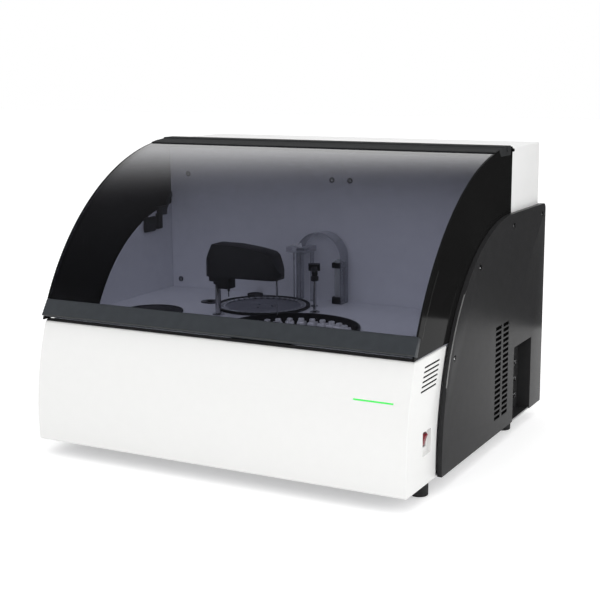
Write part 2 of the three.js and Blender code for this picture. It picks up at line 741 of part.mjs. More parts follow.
// Side panels, side frames and the connector recess
function panelOutline(inset, bottom) {
  const low = angleAtZ(PANEL_LOWER_ARC, bottom, -inset);
  const joinLow = angleAtZ(PANEL_LOWER_ARC, PANEL_JOIN_Z, -inset);
  const joinHigh = angleAtZ(PANEL_UPPER_ARC, PANEL_JOIN_Z, -inset);
  const corner = PANEL_CORNER - inset;
  const rear = REAR_Y - inset;
  const top = PANEL_TOP_Z - inset;
  const round = arcPoints({ y: REAR_Y - PANEL_CORNER, z: PANEL_TOP_Z - PANEL_CORNER, r: corner },
    0, QUARTER, 2 * QUARTER, CORNER_STEPS);
  return [
    ...arcPoints(PANEL_LOWER_ARC, -inset, low, joinLow, PANEL_STEPS),
    ...arcPoints(PANEL_UPPER_ARC, -inset, joinHigh, QUARTER).slice(1),
    ...round,
    [rear, top - corner],
    [rear, bottom],
  ];
}

function louvreCutters(side) {
  const cutters = [];
  const length = (LOUVRE_WIDTH - LOUVRE_BAR) / 2;
  const across = span(side, PANEL_INNER_X - OVERRUN, HALF_WIDTH + OVERRUN);
  for (let row = 0; row < LOUVRE_ROWS; row += 1) {
    const low = LOUVRE_BOTTOM_Z + row * LOUVRE_PITCH;
    for (const front of [LOUVRE_FRONT_Y, LOUVRE_FRONT_Y + length + LOUVRE_BAR]) {
      cutters.push(box(across, [front, front + length], [low, low + LOUVRE_SLOT]));
    }
  }
  return cutters;
}

function sidePanel(side, name) {
  const flangeX = HALF_WIDTH - PANEL_FLANGE;
  const outer = prismX(panelOutline(0, FOOT_HEIGHT), span(side, flangeX, HALF_WIDTH));
  const hollow = prismX(
    panelOutline(PANEL_SHEET, FOOT_HEIGHT - OVERRUN), span(side, flangeX - OVERRUN, PANEL_INNER_X),
  );
  const ledge = box(
    span(side, HOUSING_HALF_WIDTH + SEAT, flangeX + PANEL_SHEET),
    [HOUSING_FRONT_Y, HOUSING_REAR_Y],
    [PANEL_TOP_Z - PANEL_SHEET, PANEL_TOP_Z],
  );
  const cutters = louvreCutters(side);
  if (side === RIGHT) {
    cutters.push(box(
      [flangeX - OVERRUN, HALF_WIDTH + OVERRUN],
      [NOTCH_FRONT_Y, NOTCH_REAR_Y],
      [FOOT_HEIGHT - OVERRUN, NOTCH_TOP_Z],
    ));
  }
  return part(name, without(outer.subtract(hollow).add(ledge), cutters), DARK_PAINT);
}

const TUB_ARC = { ...PANEL_UPPER_ARC, r: PANEL_UPPER_RADIUS - TUB_INSET };
const TUB_FOOT_Y = arcPoint(TUB_ARC, 0, angleAtZ(TUB_ARC, DECK_UNDER_Z))[0];

function sideFrame(side, name) {
  const rear = REAR_INNER_Y - SEAT;
  const outline = [
    [FRAME_FRONT_Y, PLATE_TOP_Z],
    [FRAME_FRONT_Y, DECK_UNDER_Z],
    ...arcPoints(TUB_ARC, 0, angleAtZ(TUB_ARC, DECK_UNDER_Z), QUARTER),
    [rear, TUB_TOP_Z],
    [rear, PLATE_TOP_Z],
  ];
  const sheet = prismX(outline, span(side, FRAME_X, FRAME_X + FRAME_SHEET));
  if (side === LEFT) return part(name, sheet, GREY);
  const around = RECESS_WALL + SEAT;
  const past = [FRAME_X - OVERRUN, FRAME_X + OVERRUN];
  const recess = box(
    past,
    [NOTCH_FRONT_Y - around, NOTCH_REAR_Y + around],
    [PLATE_TOP_Z - OVERRUN, NOTCH_TOP_Z + around],
  );
  const pocket = box(
    past,
    about(POCKET_Y, POCKET_WIDTH + 2 * (POCKET_WALL + SEAT)),
    about(POCKET_Z, POCKET_HEIGHT + 2 * (POCKET_WALL + SEAT)),
  );
  return part(name, without(sheet, [recess, pocket]), GREY);
}

function connectorRecess() {
  const outer = box(
    [RECESS_X - RECESS_WALL, PANEL_INNER_X - SEAT],
    [NOTCH_FRONT_Y - RECESS_WALL, NOTCH_REAR_Y + RECESS_WALL],
    [PLATE_TOP_Z, NOTCH_TOP_Z + RECESS_WALL],
  );
  const hollow = box(
    [RECESS_X, HALF_WIDTH + OVERRUN],
    [NOTCH_FRONT_Y, NOTCH_REAR_Y],
    [PLATE_TOP_Z - OVERRUN, NOTCH_TOP_Z],
  );
  const fittings = [];
  const y = NOTCH_FRONT_Y + FITTING_INSET;
  for (let i = 0; i < FITTING_COUNT; i += 1) {
    const z = FITTING_FIRST_Z + i * FITTING_PITCH;
    const face = RECESS_X + FITTING_LENGTH;
    fittings.push(rodX(y, z, FITTING_RADIUS, [RECESS_X - RECESS_WALL / 2, face], HEX_SIDES));
    fittings.push(rodX(y, z, FITTING_BARB, [RECESS_X, face + FITTING_LENGTH], THIN_SIDES));
  }
  return part("connector_recess", joined([outer.subtract(hollow), ...fittings]), DARK_PAINT);
}

// Rear housing, rear panel and mains inlet
function rearHousing() {
  const inner = HOUSING_HALF_WIDTH - HOUSING_WALL;
  const frontY = HOUSING_FRONT_Y + HOUSING_WALL;
  const rearY = HOUSING_REAR_Y - HOUSING_WALL;
  const outer = box(
    [-HOUSING_HALF_WIDTH, HOUSING_HALF_WIDTH],
    [HOUSING_FRONT_Y, HOUSING_REAR_Y],
    [TUB_TOP_Z, HOUSING_TOP_Z],
  );
  const hollow = box(
    [-inner, inner], [frontY, rearY], [TUB_TOP_Z + HOUSING_WALL, HOUSING_TOP_Z - HOUSING_WALL],
  );
  const mouth = box(
    [HOUSING_LIP - inner, inner - HOUSING_LIP],
    [frontY + HOUSING_LIP, rearY - HOUSING_LIP],
    [TUB_TOP_Z - OVERRUN, TUB_TOP_Z + OVERRUN],
  );
  return part("rear_housing", without(outer, [hollow, mouth]), WHITE);
}

function grilleCutters() {
  const cutters = [];
  const across = [REAR_INNER_Y - OVERRUN, REAR_Y + OVERRUN];
  for (let row = 0; row < GRILLE_ROWS; row += 1) {
    const rise = (row - (GRILLE_ROWS - 1) / 2) * GRILLE_PITCH;
    const half = Math.sqrt(FAN_BORE_RADIUS ** 2 - rise ** 2);
    cutters.push(box([FAN_X - half, FAN_X + half], across, about(FAN_Z + rise, GRILLE_SLOT)));
  }
  return cutters;
}

function rearPanel() {
  const wide = PANEL_INNER_X - SEAT;
  const top = PANEL_TOP_Z - PANEL_SHEET - SEAT;
  const ledgeZ = top - REAR_SHEET;
  const narrow = HALF_WIDTH - PANEL_FLANGE - SEAT;
  const shoulderZ = PANEL_TOP_Z - PANEL_CORNER;
  const face = [REAR_INNER_Y, REAR_FACE_Y - SEAT];
  const sheet = joined([
    box([-wide, wide], face, [PLATE_TOP_Z, shoulderZ]),
    box([-narrow, narrow], face, [shoulderZ, top]),
  ]);
  const ledge = box([-narrow, narrow], [HOUSING_REAR_Y + SEAT, face[1]], [ledgeZ, top]);
  const inletHole = box(
    about(INLET_X, INLET_WIDTH + 2 * SEAT),
    [REAR_INNER_Y - OVERRUN, REAR_Y + OVERRUN],
    about(INLET_Z, INLET_HEIGHT + 2 * SEAT),
  );
  const cutters = [inletHole, ...grilleCutters()];
  return part("rear_panel", without(sheet.add(ledge), cutters), DARK_PAINT);
}

function powerInlet() {
  const face = REAR_INNER_Y;
  const front = face - INLET_DEPTH;
  const back = REAR_FACE_Y - SEAT;
  const flange = box(
    about(INLET_X, INLET_WIDTH + 2 * INLET_FLANGE),
    [face - INLET_FLANGE_SHEET, face],
    about(INLET_Z, INLET_HEIGHT + 2 * INLET_FLANGE),
  );
  const body = box(about(INLET_X, INLET_WIDTH), [front, back], about(INLET_Z, INLET_HEIGHT));
  const socket = box(
    about(INLET_X, INLET_WIDTH - 2 * INLET_WALL),
    [back - INLET_SOCKET_DEPTH, back + OVERRUN],
    about(INLET_Z, INLET_HEIGHT - 2 * INLET_WALL),
  );
  const pins = [-1, 0, 1].map((i) => box(
    about(INLET_X + i * INLET_PIN_PITCH, INLET_PIN_WIDTH),
    [back - INLET_SOCKET_DEPTH - INLET_PIN_WIDTH, back - INLET_PIN_WIDTH],
    about(INLET_Z, INLET_PIN_HEIGHT),
  ));
  return part("power_inlet", joined([flange.add(body).subtract(socket), ...pins]), SOFT_BLACK);
}

// Deck, back wall and seal
const radians = (degrees) => THREE.MathUtils.degToRad(degrees);
const WELL_X = PROBE_X + PROBE_REACH * Math.cos(radians(PROBE_WELL_ANGLE));
const WELL_Y = PROBE_Y + PROBE_REACH * Math.sin(radians(PROBE_WELL_ANGLE));
const PADDLE_X = STIRRER_X + STIRRER_REACH * Math.cos(radians(STIRRER_ANGLE));
const PADDLE_Y = STIRRER_Y + STIRRER_REACH * Math.sin(radians(STIRRER_ANGLE));

function deck() {
  const levels = [DECK_UNDER_Z, DECK_TOP_Z];
  const wide = COVER_INNER_X - SEAT;
  const sheet = joined([
    box([-wide, wide], [COVER_LIP_Y + SEAT, TUB_FOOT_Y - SEAT], levels),
    box([-DECK_HALF_WIDTH, DECK_HALF_WIDTH], [TUB_FOOT_Y - OVERRUN, WALL_Y + WALL_SHEET], levels),
  ]);
  const through = [DECK_UNDER_Z - OVERRUN, DECK_TOP_Z + OVERRUN];
  const hole = (x, y, radius, sides = SHAFT_SIDES) => rod(x, y, radius + BORE, through, sides);
  return part("deck", without(sheet, [
    hole(TRAY_X, TRAY_Y, BOWL_RADIUS, RING_SIDES),
    hole(ROTOR_X, ROTOR_Y, BATH_RADIUS, RING_SIDES),
    hole(PROBE_X, PROBE_Y, PROBE_COLUMN_RADIUS),
    hole(STIRRER_X, STIRRER_Y, STIRRER_COLUMN_RADIUS),
    hole(WASH_COLUMN_X, WASH_COLUMN_Y, WASH_COLUMN_RADIUS),
    hole(WELL_X, WELL_Y, PROBE_WELL_RADIUS),
    hole(PADDLE_X, PADDLE_Y, STIRRER_WELL_RADIUS),
    hole(SYRINGE_X, SYRINGE_Y, PLUNGER_ROD_RADIUS),
    hole(PLUG_X, PLUG_Y, PLUG_STEM_RADIUS),
  ]), GREY);
}

function backWall() {
  const across = [-DECK_HALF_WIDTH, DECK_HALF_WIDTH];
  const depth = [WALL_Y, WALL_Y + WALL_SHEET];
  return part("back_wall", box(across, depth, [DECK_TOP_Z, WALL_SEAM_Z]), GREY);
}

function backWallUpper() {
  const across = [-DECK_HALF_WIDTH, DECK_HALF_WIDTH];
  const shape = joined([
    box(across, [WALL_Y, WALL_Y + WALL_SHEET], [WALL_SEAM_Z, WALL_TOP_Z]),
    box(across, [WALL_Y, HOUSING_FRONT_Y], [WALL_TOP_Z - WALL_SHEET, WALL_TOP_Z]),
  ]);
  const groove = box(
    about(WALL_SEAM_X, WALL_GROOVE),
    [WALL_Y - OVERRUN, WALL_Y + WALL_GROOVE],
    [WALL_SEAM_Z - OVERRUN, WALL_TOP_Z + OVERRUN],
  );
  return part("back_wall_upper", shape.subtract(groove), GREY);
}

function lidSeal() {
  const front = COVER_EDGE_Y + SEAL_LIP / 2;
  const rear = front + SEAL_DEPTH;
  const outline = [
    [front, COVER_TOP_Z],
    [rear, COVER_TOP_Z],
    [rear, COVER_TOP_Z + SEAL_LIP],
    [rear - SEAL_LIP, SEAL_TOP_Z],
    [front + SEAL_LIP, SEAL_TOP_Z],
    [front + SEAL_LIP, COVER_TOP_Z + 2 * SEAL_LIP],
    [front, COVER_TOP_Z + SEAL_LIP],
  ];
  return part("lid_seal", prismX(outline, [-COVER_INNER_X, COVER_INNER_X]), SOFT_BLACK);
}

// Lid: handle, sheet, cheeks and top rail
const HANDLE_FOOT = angleAtZ(LID_ARC, HANDLE_BOTTOM_Z);
const HANDLE_HEAD = angleAtZ(LID_ARC, HANDLE_TOP_Z);

function handleOutline(grow) {
  const low = HANDLE_FOOT - grow / LID_RADIUS;
  const high = HANDLE_HEAD + grow / LID_RADIUS;
  return [
    arcPoint(LID_ARC, HANDLE_PROUD + grow, low),
    arcPoint(LID_ARC, grow, high),
    arcPoint(LID_ARC, -HANDLE_THICK - grow, high),
    arcPoint(LID_ARC, -HANDLE_THICK - grow, low),
  ];
}

function railOutline(grow) {
  const rear = RAIL_REAR_Y + grow;
  const front = RAIL_FRONT_Y - grow;
  const bottom = RAIL_BOTTOM_Z - grow;
  const top = RAIL_TOP_Z + grow;
  return [
    [front, bottom + RAIL_NOSE],
    [front + RAIL_NOSE, bottom],
    [rear, bottom],
    [rear, top - RAIL_STEP],
    [rear - RAIL_STEP, top],
    [RAIL_STEP_Y - grow, top],
    [RAIL_STEP_Y - grow, top - RAIL_STEP],
    [front, top - 2 * RAIL_STEP],
  ];
}

function lidHandle() {
  const across = [-HANDLE_HALF_WIDTH, HANDLE_HALF_WIDTH];
  return part("lid_handle", prismX(handleOutline(0), across), BLACK);
}

function lidSheet() {
  const from = HANDLE_HEAD + SEAT / LID_RADIUS;
  const to = angleAtY(LID_ARC, RAIL_FRONT_Y - SEAT, -LID_SHEET);
  const half = CHEEK_INNER_X - SEAT;
  const band = arcBand(LID_ARC, 0, -LID_SHEET, from, to, 2 * ARC_STEPS);
  return part("lid_sheet", prismX(band, [-half, half]), SMOKED);
}

function lidTopRail() {
  const across = [-HANDLE_HALF_WIDTH, HANDLE_HALF_WIDTH];
  return part("lid_top_rail", prismX(railOutline(0), across), BLACK);
}

function cheekOutline() {
  const heel = { ...PANEL_UPPER_ARC, r: PANEL_UPPER_RADIUS - CHEEK_INSET };
  const low = angleAtZ(LID_ARC, LID_BOTTOM_Z);
  const high = angleAtY(LID_ARC, RAIL_FRONT_Y);
  const heelHigh = angleAtZ(heel, CHEEK_HEEL_Z);
  const heelLow = angleAtZ(heel, LID_BOTTOM_Z);
  return [
    ...arcPoints(LID_ARC, 0, low, high, 2 * ARC_STEPS),
    [RAIL_REAR_Y, RAIL_BOTTOM_Z],
    [CHEEK_REAR_Y, RAIL_BOTTOM_Z],
    [CHEEK_REAR_Y, CHEEK_HEEL_Z],
    ...arcPoints(heel, 0, heelHigh, heelLow),
  ];
}

function lidCheek(side, name) {
  const across = span(side, CHEEK_INNER_X, LID_HALF_WIDTH);
  const past = span(side, CHEEK_INNER_X - OVERRUN, LID_HALF_WIDTH + OVERRUN);
  const neckY = [HINGE_Y - HINGE_NOSE_RADIUS + SEAT, CHEEK_REAR_Y];
  const neck = box(across, neckY, [RAIL_BOTTOM_Z - OVERRUN, HINGE_Z]);
  const plate = without(prismX(cheekOutline(), across), [
    prismX(handleOutline(SEAT), past),
    prismX(railOutline(SEAT), past),
  ]);
  const ear = rodX(HINGE_Y, HINGE_Z, HINGE_EAR_RADIUS, across);
  const round = joined([plate, neck, ear]).subtract(prismX(railOutline(SEAT), past));
  return part(name, round.subtract(rodX(HINGE_Y, HINGE_Z, HINGE_PIN_RADIUS + BORE, past)), BLACK);
}

function hingeBracket(side, name) {
  const inner = CHEEK_INNER_X - BRACKET_SHEET;
  const nose = { y: HINGE_Y, z: HINGE_Z, r: HINGE_NOSE_RADIUS };
  const outline = [
    ...arcPoints(nose, 0, 0, QUARTER, CORNER_STEPS),
    [HOUSING_FRONT_Y, HINGE_Z + HINGE_NOSE_RADIUS],
    [HOUSING_FRONT_Y, HINGE_Z - BRACKET_DROP],
    [HINGE_Y - HINGE_NOSE_RADIUS, HINGE_Z - BRACKET_DROP],
  ];
  const plate = prismX(outline, span(side, inner - SEAT, CHEEK_INNER_X - SEAT));
  const pin = rodX(HINGE_Y, HINGE_Z, HINGE_PIN_RADIUS, span(side, inner, LID_HALF_WIDTH - SEAT));
  return part(name, plate.add(pin), STEEL);
}

function lidSensor() {
  const across = [-FRAME_X, LID_SENSOR_DEPTH - FRAME_X];
  const along = [LID_SENSOR_FRONT_Y, LID_SENSOR_FRONT_Y + LID_SENSOR_LENGTH];
  const middle = LID_SENSOR_BOTTOM_Z + LID_SENSOR_HEIGHT / 2;
  const top = LID_SENSOR_BOTTOM_Z + LID_SENSOR_HEIGHT;
  const shape = joined([
    box(across, [along[0], along[0] + LID_SENSOR_LENGTH / 2], [LID_SENSOR_BOTTOM_Z, middle]),
    box(across, along, about(middle, LID_SENSOR_HEIGHT / 2)),
    box(across, [along[1] - LID_SENSOR_LENGTH / 3, along[1]], [middle, top]),
  ]);
  return part("lid_sensor", shape, SOFT_BLACK);
}

// Reagent bowl and tray
function reagentBowl() {
  const inner = BOWL_RADIUS - BOWL_WALL;
  const bore = MOTOR_SHAFT_RADIUS + SEAT;
  const floor = BOWL_FLOOR_Z + BOWL_WALL;
  const shape = turned([
    [bore, BOWL_FLOOR_Z],
    [BOWL_RADIUS, BOWL_FLOOR_Z],
    [BOWL_RADIUS, DECK_TOP_Z],
    [BOWL_RIM_RADIUS, DECK_TOP_Z],
    [BOWL_RIM_RADIUS, BOWL_RIM_Z],
    [inner, BOWL_RIM_Z],
    [inner, floor],
    [bore, floor],
  ]);
  return placed(part("reagent_bowl", shape, SOFT_BLACK), TRAY_X, TRAY_Y);
}

function reagentTray() {
  const bore = MOTOR_SHAFT_RADIUS + SEAT;
  const top = TRAY_FLOOR_Z + TRAY_HUB_HEIGHT;
  const floor = TRAY_FLOOR_Z + TRAY_FLOOR;
  const wallTop = floor + TRAY_WALL_HEIGHT;
  const shape = turned([
    [0, TRAY_FLOOR_Z + TRAY_HUB_HEIGHT / 2],
    [bore, TRAY_FLOOR_Z + TRAY_HUB_HEIGHT / 2],
    [bore, TRAY_FLOOR_Z],
    [TRAY_RADIUS, TRAY_FLOOR_Z],
    [TRAY_RADIUS, wallTop],
    [TRAY_RADIUS - TRAY_FLOOR / 2, wallTop],
    [TRAY_RADIUS - TRAY_FLOOR / 2, floor],
    [TRAY_HUB_RADIUS, floor],
    [TRAY_HUB_RADIUS, top - TRAY_FLOOR],
    [TRAY_HUB_RADIUS - TRAY_FLOOR, top],
    [0, top],
  ]);
  return placed(part("reagent_tray", shape, GREY), TRAY_X, TRAY_Y);
}

function bottle(angle, footZ) {
  const middle = BOTTLE_OUTER_RADIUS - BOTTLE_DEPTH / 2;
  const neckTop = BOTTLE_SHOULDER_Z + BOTTLE_NECK_HEIGHT;
  const turn = new THREE.Matrix4().makeRotationZ(angle);
  const outline = [
    [BOTTLE_OUTER_RADIUS - BOTTLE_DEPTH, -BOTTLE_INNER_WIDTH / 2],
    [BOTTLE_OUTER_RADIUS, -BOTTLE_WIDTH / 2],
    [BOTTLE_OUTER_RADIUS, BOTTLE_WIDTH / 2],
    [BOTTLE_OUTER_RADIUS - BOTTLE_DEPTH, BOTTLE_INNER_WIDTH / 2],
  ];
  const block = prism(outline, BOTTLE_SHOULDER_Z - footZ, ALONG_Z).translate(0, 0, footZ);
  const round = (radius, low, high) => {
    const neck = new THREE.CylinderGeometry(radius, radius, high - low, FINE_SIDES);
    return neck.rotateX(QUARTER).translate(middle, 0, (low + high) / 2);
  };
  const neck = round(BOTTLE_NECK_RADIUS, footZ, neckTop);
  const bore = round(BOTTLE_BORE_RADIUS, neckTop - BOTTLE_BORE_DEPTH, neckTop + OVERRUN);
  const body = solid(block.applyMatrix4(turn)).add(solid(neck.applyMatrix4(turn)));
  return body.subtract(solid(bore.applyMatrix4(turn)));
}

function bottleRing() {
  const low = TRAY_FLOOR_Z + TRAY_FLOOR;
  const inner = BOTTLE_OUTER_RADIUS - BOTTLE_DEPTH;
  const ring = turned([
    [inner, low],
    [BOTTLE_OUTER_RADIUS, low],
    [BOTTLE_OUTER_RADIUS, low + TRAY_FLOOR],
    [inner, low + TRAY_FLOOR],
  ], BOTTLE_COUNT);
  const bottles = [];
  for (let i = 0; i < BOTTLE_COUNT; i += 1) {
    bottles.push(bottle((i * 4 * QUARTER) / BOTTLE_COUNT, low + TRAY_FLOOR / 2));
  }
  return placed(part("bottle_ring", joined([ring, ...bottles]), WHITE), TRAY_X, TRAY_Y);
}

// Reaction bath, rotor and cuvettes
const ROTOR_RING_INNER = CUVETTE_RADIUS - CUVETTE_RING_WIDTH / 2;
const ROTOR_Z = CUVETTE_TOP_Z - CUVETTE_RING_SHEET - ROTOR_SHEET;

function reactionBath() {
  const inner = BATH_RADIUS - BATH_WALL;
  const floor = BATH_FLOOR_Z + BATH_WALL;
  const bore = MOTOR_SHAFT_RADIUS + SEAT;
  const shape = turned([
    [bore, BATH_FLOOR_Z],
    [BATH_RADIUS, BATH_FLOOR_Z],
    [BATH_RADIUS, DECK_TOP_Z],
    [BATH_RIM_RADIUS, DECK_TOP_Z],
    [BATH_RIM_RADIUS, BATH_RIM_Z],
    [inner, BATH_RIM_Z],
    [inner, floor],
    [bore, floor],
  ]);
  return placed(part("reaction_bath", shape, SOFT_BLACK), ROTOR_X, ROTOR_Y);
}

function reactionRotor() {
  const bore = MOTOR_SHAFT_RADIUS + SEAT;
  const hubFoot = BATH_FLOOR_Z + 2 * BATH_WALL;
  const plateTop = ROTOR_Z + ROTOR_SHEET;
  const edge = CUVETTE_RADIUS - CUVETTE_SIZE / 2 - SEAT;
  const shape = turned([
    [0, ROTOR_Z],
    [bore, ROTOR_Z],
    [bore, hubFoot],
    [ROTOR_HUB_RADIUS, hubFoot],
    [ROTOR_HUB_RADIUS, ROTOR_Z],
    [edge, ROTOR_Z],
    [edge, plateTop],
    [0, plateTop],
  ]);
  return placed(part("reaction_rotor", shape, GREY), ROTOR_X, ROTOR_Y);
}

function cuvetteBlock(angle, size, [low, high]) {
  const geometry = new THREE.BoxGeometry(size, size, high - low);
  geometry.translate(CUVETTE_RADIUS, 0, (low + high) / 2).rotateZ(angle);
  return solid(geometry);
}

function cuvetteRing() {
  const low = CUVETTE_TOP_Z - CUVETTE_RING_SHEET;
  const outer = ROTOR_RING_INNER + CUVETTE_RING_WIDTH;
  const foot = CUVETTE_TOP_Z - CUVETTE_HEIGHT;
  const ring = turned([
    [ROTOR_RING_INNER, low],
    [outer, low],
    [outer, CUVETTE_TOP_Z],
    [ROTOR_RING_INNER, CUVETTE_TOP_Z],
  ]);
  const blocks = [];
  const bores = [];
  for (let i = 0; i < CUVETTE_COUNT; i += 1) {
    const angle = radians(CUVETTE_FIRST_ANGLE) + (i * 4 * QUARTER) / CUVETTE_COUNT;
    blocks.push(cuvetteBlock(angle, CUVETTE_SIZE, [foot, CUVETTE_TOP_Z - CUVETTE_RING_SHEET / 2]));
    bores.push(cuvetteBlock(angle, CUVETTE_BORE, [foot + CUVETTE_FLOOR, CUVETTE_TOP_Z + OVERRUN]));
  }
  const shape = without(joined([ring, ...blocks]), bores);
  return placed(part("cuvette_ring", shape, CLEAR), ROTOR_X, ROTOR_Y);
}

function motor(name, x, y, topZ, shaftTopZ) {
  const square = (size) => about(0, size);
  const body = box(square(MOTOR_SIZE), square(MOTOR_SIZE), [topZ - MOTOR_HEIGHT, topZ]);
  const shaft = rod(0, 0, MOTOR_SHAFT_RADIUS, [topZ - MOTOR_HEIGHT / 2, shaftTopZ]);
  return placed(part(name, body.add(shaft), SOFT_BLACK), x, y);
}

// Towers and carriages that lift the probe and the stirrer
function tower(name, x, y, side, width) {
  const near = y + side * TOWER_OFFSET;
  const far = near + side * TOWER_SHEET;
  const end = near + side * TOWER_FOOT_DEPTH;
  const across = about(x, width);
  const plate = box(across, inOrder(near, far), [PLATE_TOP_Z, DECK_UNDER_Z]);
  const base = box(across, inOrder(near, end), [PLATE_TOP_Z, PLATE_TOP_Z + TOWER_SHEET]);
  return part(name, plate.add(base), STEEL);
}

function carriage(name, x, y, side, width, low, radius) {
  const near = y + side * (TOWER_OFFSET - SEAT);
  const far = y - side * (radius + BORE + CARRIAGE_WALL);
  const top = low + CARRIAGE_HEIGHT;
  const block = box(about(x, width), inOrder(near, far), [low, top]);
  const bore = rod(x, y, radius + BORE, [low - OVERRUN, top + OVERRUN]);
  return part(name, block.subtract(bore), GREY);
}

// Probe arm: the cover with its hub and front block, and the needle in its sleeve
function probeArmCover() {
  const outline = ARM_LENGTH_SHARES.map((share, i) => [
    share * ARM_LENGTH - ARM_TAIL,
    ARM_HEEL_Z + ARM_HEIGHT_SHARES[i] * ARM_HEIGHT,
  ]);
  outline.push([-ARM_TAIL, ARM_HEEL_Z]);
  const cover = prismY(outline, about(0, ARM_WIDTH));
  const hubFoot = ARM_HEEL_Z - ARM_HUB_DROP;
  const width = about(0, ARM_BLOCK_WIDTH);
  const hub = box([-ARM_HUB_BACK, ARM_HUB_BACK], width, [hubFoot, ARM_HEEL_Z + SEAT]);
  const blockX = [PROBE_COLUMN_RADIUS + 2 * SEAT, PROBE_COLUMN_RADIUS + ARM_BLOCK_LENGTH];
  const blockFoot = ARM_HEEL_Z - ARM_BLOCK_DROP;
  const block = box(blockX, width, [blockFoot, ARM_HEEL_Z + SEAT]);
  const flagX = blockX[1] - ARM_FLAG_DROP / 2;
  const flagZ = [blockFoot - ARM_FLAG_DROP, blockFoot + SEAT];
  const flag = rod(flagX, 0, ARM_FLAG_RADIUS, flagZ, THIN_SIDES);
  const bore = rod(0, 0, PROBE_COLUMN_RADIUS + SEAT, [hubFoot - ARM_BLOCK_DROP, ARM_HEEL_Z]);
  const shape = joined([cover, hub, block, flag]).subtract(bore);
  return placed(part("probe_arm_cover", shape, SOFT_BLACK), PROBE_X, PROBE_Y);
}

function probeNeedle() {
  const underside = ARM_HEEL_Z + ARM_NOSE_SHARE * ARM_HEIGHT - 2 * SEAT;
  const shape = joined([
    rod(PROBE_REACH, 0, SLEEVE_RADIUS, [SLEEVE_FOOT_Z, underside], THIN_SIDES),
    rod(PROBE_REACH, 0, NEEDLE_RADIUS, [NEEDLE_TIP_Z, SLEEVE_FOOT_Z + SEAT], FINE_SIDES),
  ]);
  return placed(part("probe_needle", shape, STEEL), PROBE_X, PROBE_Y);
}

function probeColumn() {
  const shape = joined([
    rod(0, 0, PROBE_COLUMN_RADIUS, [PROBE_COLUMN_FOOT_Z, ARM_HEEL_Z - SEAT]),
    rod(0, 0, PROBE_PULLEY_RADIUS, [PROBE_COLUMN_FOOT_Z, PROBE_CARRIAGE_Z - SEAT]),
  ]);
  return placed(part("probe_column", shape, STEEL), PROBE_X, PROBE_Y);
}

// Stirrer: column, collar, bar and ribbed motor block, and the paddle below the block
function stirrerArm() {
  const blockEnd = STIRRER_REACH + STIRRER_BLOCK / 2;
  const blockTop = STIRRER_BLOCK_Z + STIRRER_BLOCK_HEIGHT;
  const ribPitch = STIRRER_BLOCK / STIRRER_RIBS;
  const barZ = [STIRRER_BAR_Z, STIRRER_BAR_Z + STIRRER_BAR_HEIGHT];
  const grooveZ = [STIRRER_BLOCK_Z + STIRRER_RIB_FOOT, blockTop + OVERRUN];
  const grooves = [];
  for (let i = 0; i < STIRRER_RIBS; i += 1) {
    const along = about(blockEnd - ((2 * i + 1) * ribPitch) / 2, ribPitch / 2);
    for (const face of about(0, STIRRER_BLOCK)) {
      grooves.push(box(along, about(face, 2 * STIRRER_RIB_DEPTH), grooveZ));
    }
  }
  const solids = [
    rod(0, 0, STIRRER_COLUMN_RADIUS, [STIRRER_COLUMN_FOOT_Z, STIRRER_BAR_Z]),
    rod(0, 0, STIRRER_PULLEY_RADIUS, [STIRRER_COLUMN_FOOT_Z, STIRRER_CARRIAGE_Z - SEAT]),
    rod(0, 0, STIRRER_COLLAR_RADIUS, [STIRRER_COLLAR_Z, STIRRER_BAR_Z + SEAT]),
    box([-STIRRER_BAR_WIDTH / 2, STIRRER_REACH], about(0, STIRRER_BAR_WIDTH), barZ),
    box(about(STIRRER_REACH, STIRRER_BLOCK), about(0, STIRRER_BLOCK), [STIRRER_BLOCK_Z, blockTop]),
  ];
  const node = part("stirrer_arm", without(joined(solids), grooves), SOFT_BLACK);
  return placed(node, STIRRER_X, STIRRER_Y, radians(STIRRER_ANGLE));
}

function stirrerPaddle() {
  const middle = PADDLE_TIP_Z + PADDLE_HEIGHT / 2;
  const shape = joined([
    rod(0, 0, PADDLE_SHAFT_RADIUS, [middle, STIRRER_BLOCK_Z - SEAT], THIN_SIDES),
    box(about(0, PADDLE_WIDTH), about(0, PADDLE_SHEET), about(middle, PADDLE_HEIGHT)),
  ]);
  return placed(part("stirrer_paddle", shape, STEEL), PADDLE_X, PADDLE_Y);
}

// Wash head: column, bar and a row of nozzles over neighbouring cuvettes
function nozzlePlace(index) {
  const angle = radians(CUVETTE_FIRST_ANGLE) + (index * 4 * QUARTER) / CUVETTE_COUNT;
  return [ROTOR_X + CUVETTE_RADIUS * Math.cos(angle), ROTOR_Y + CUVETTE_RADIUS * Math.sin(angle)];
}

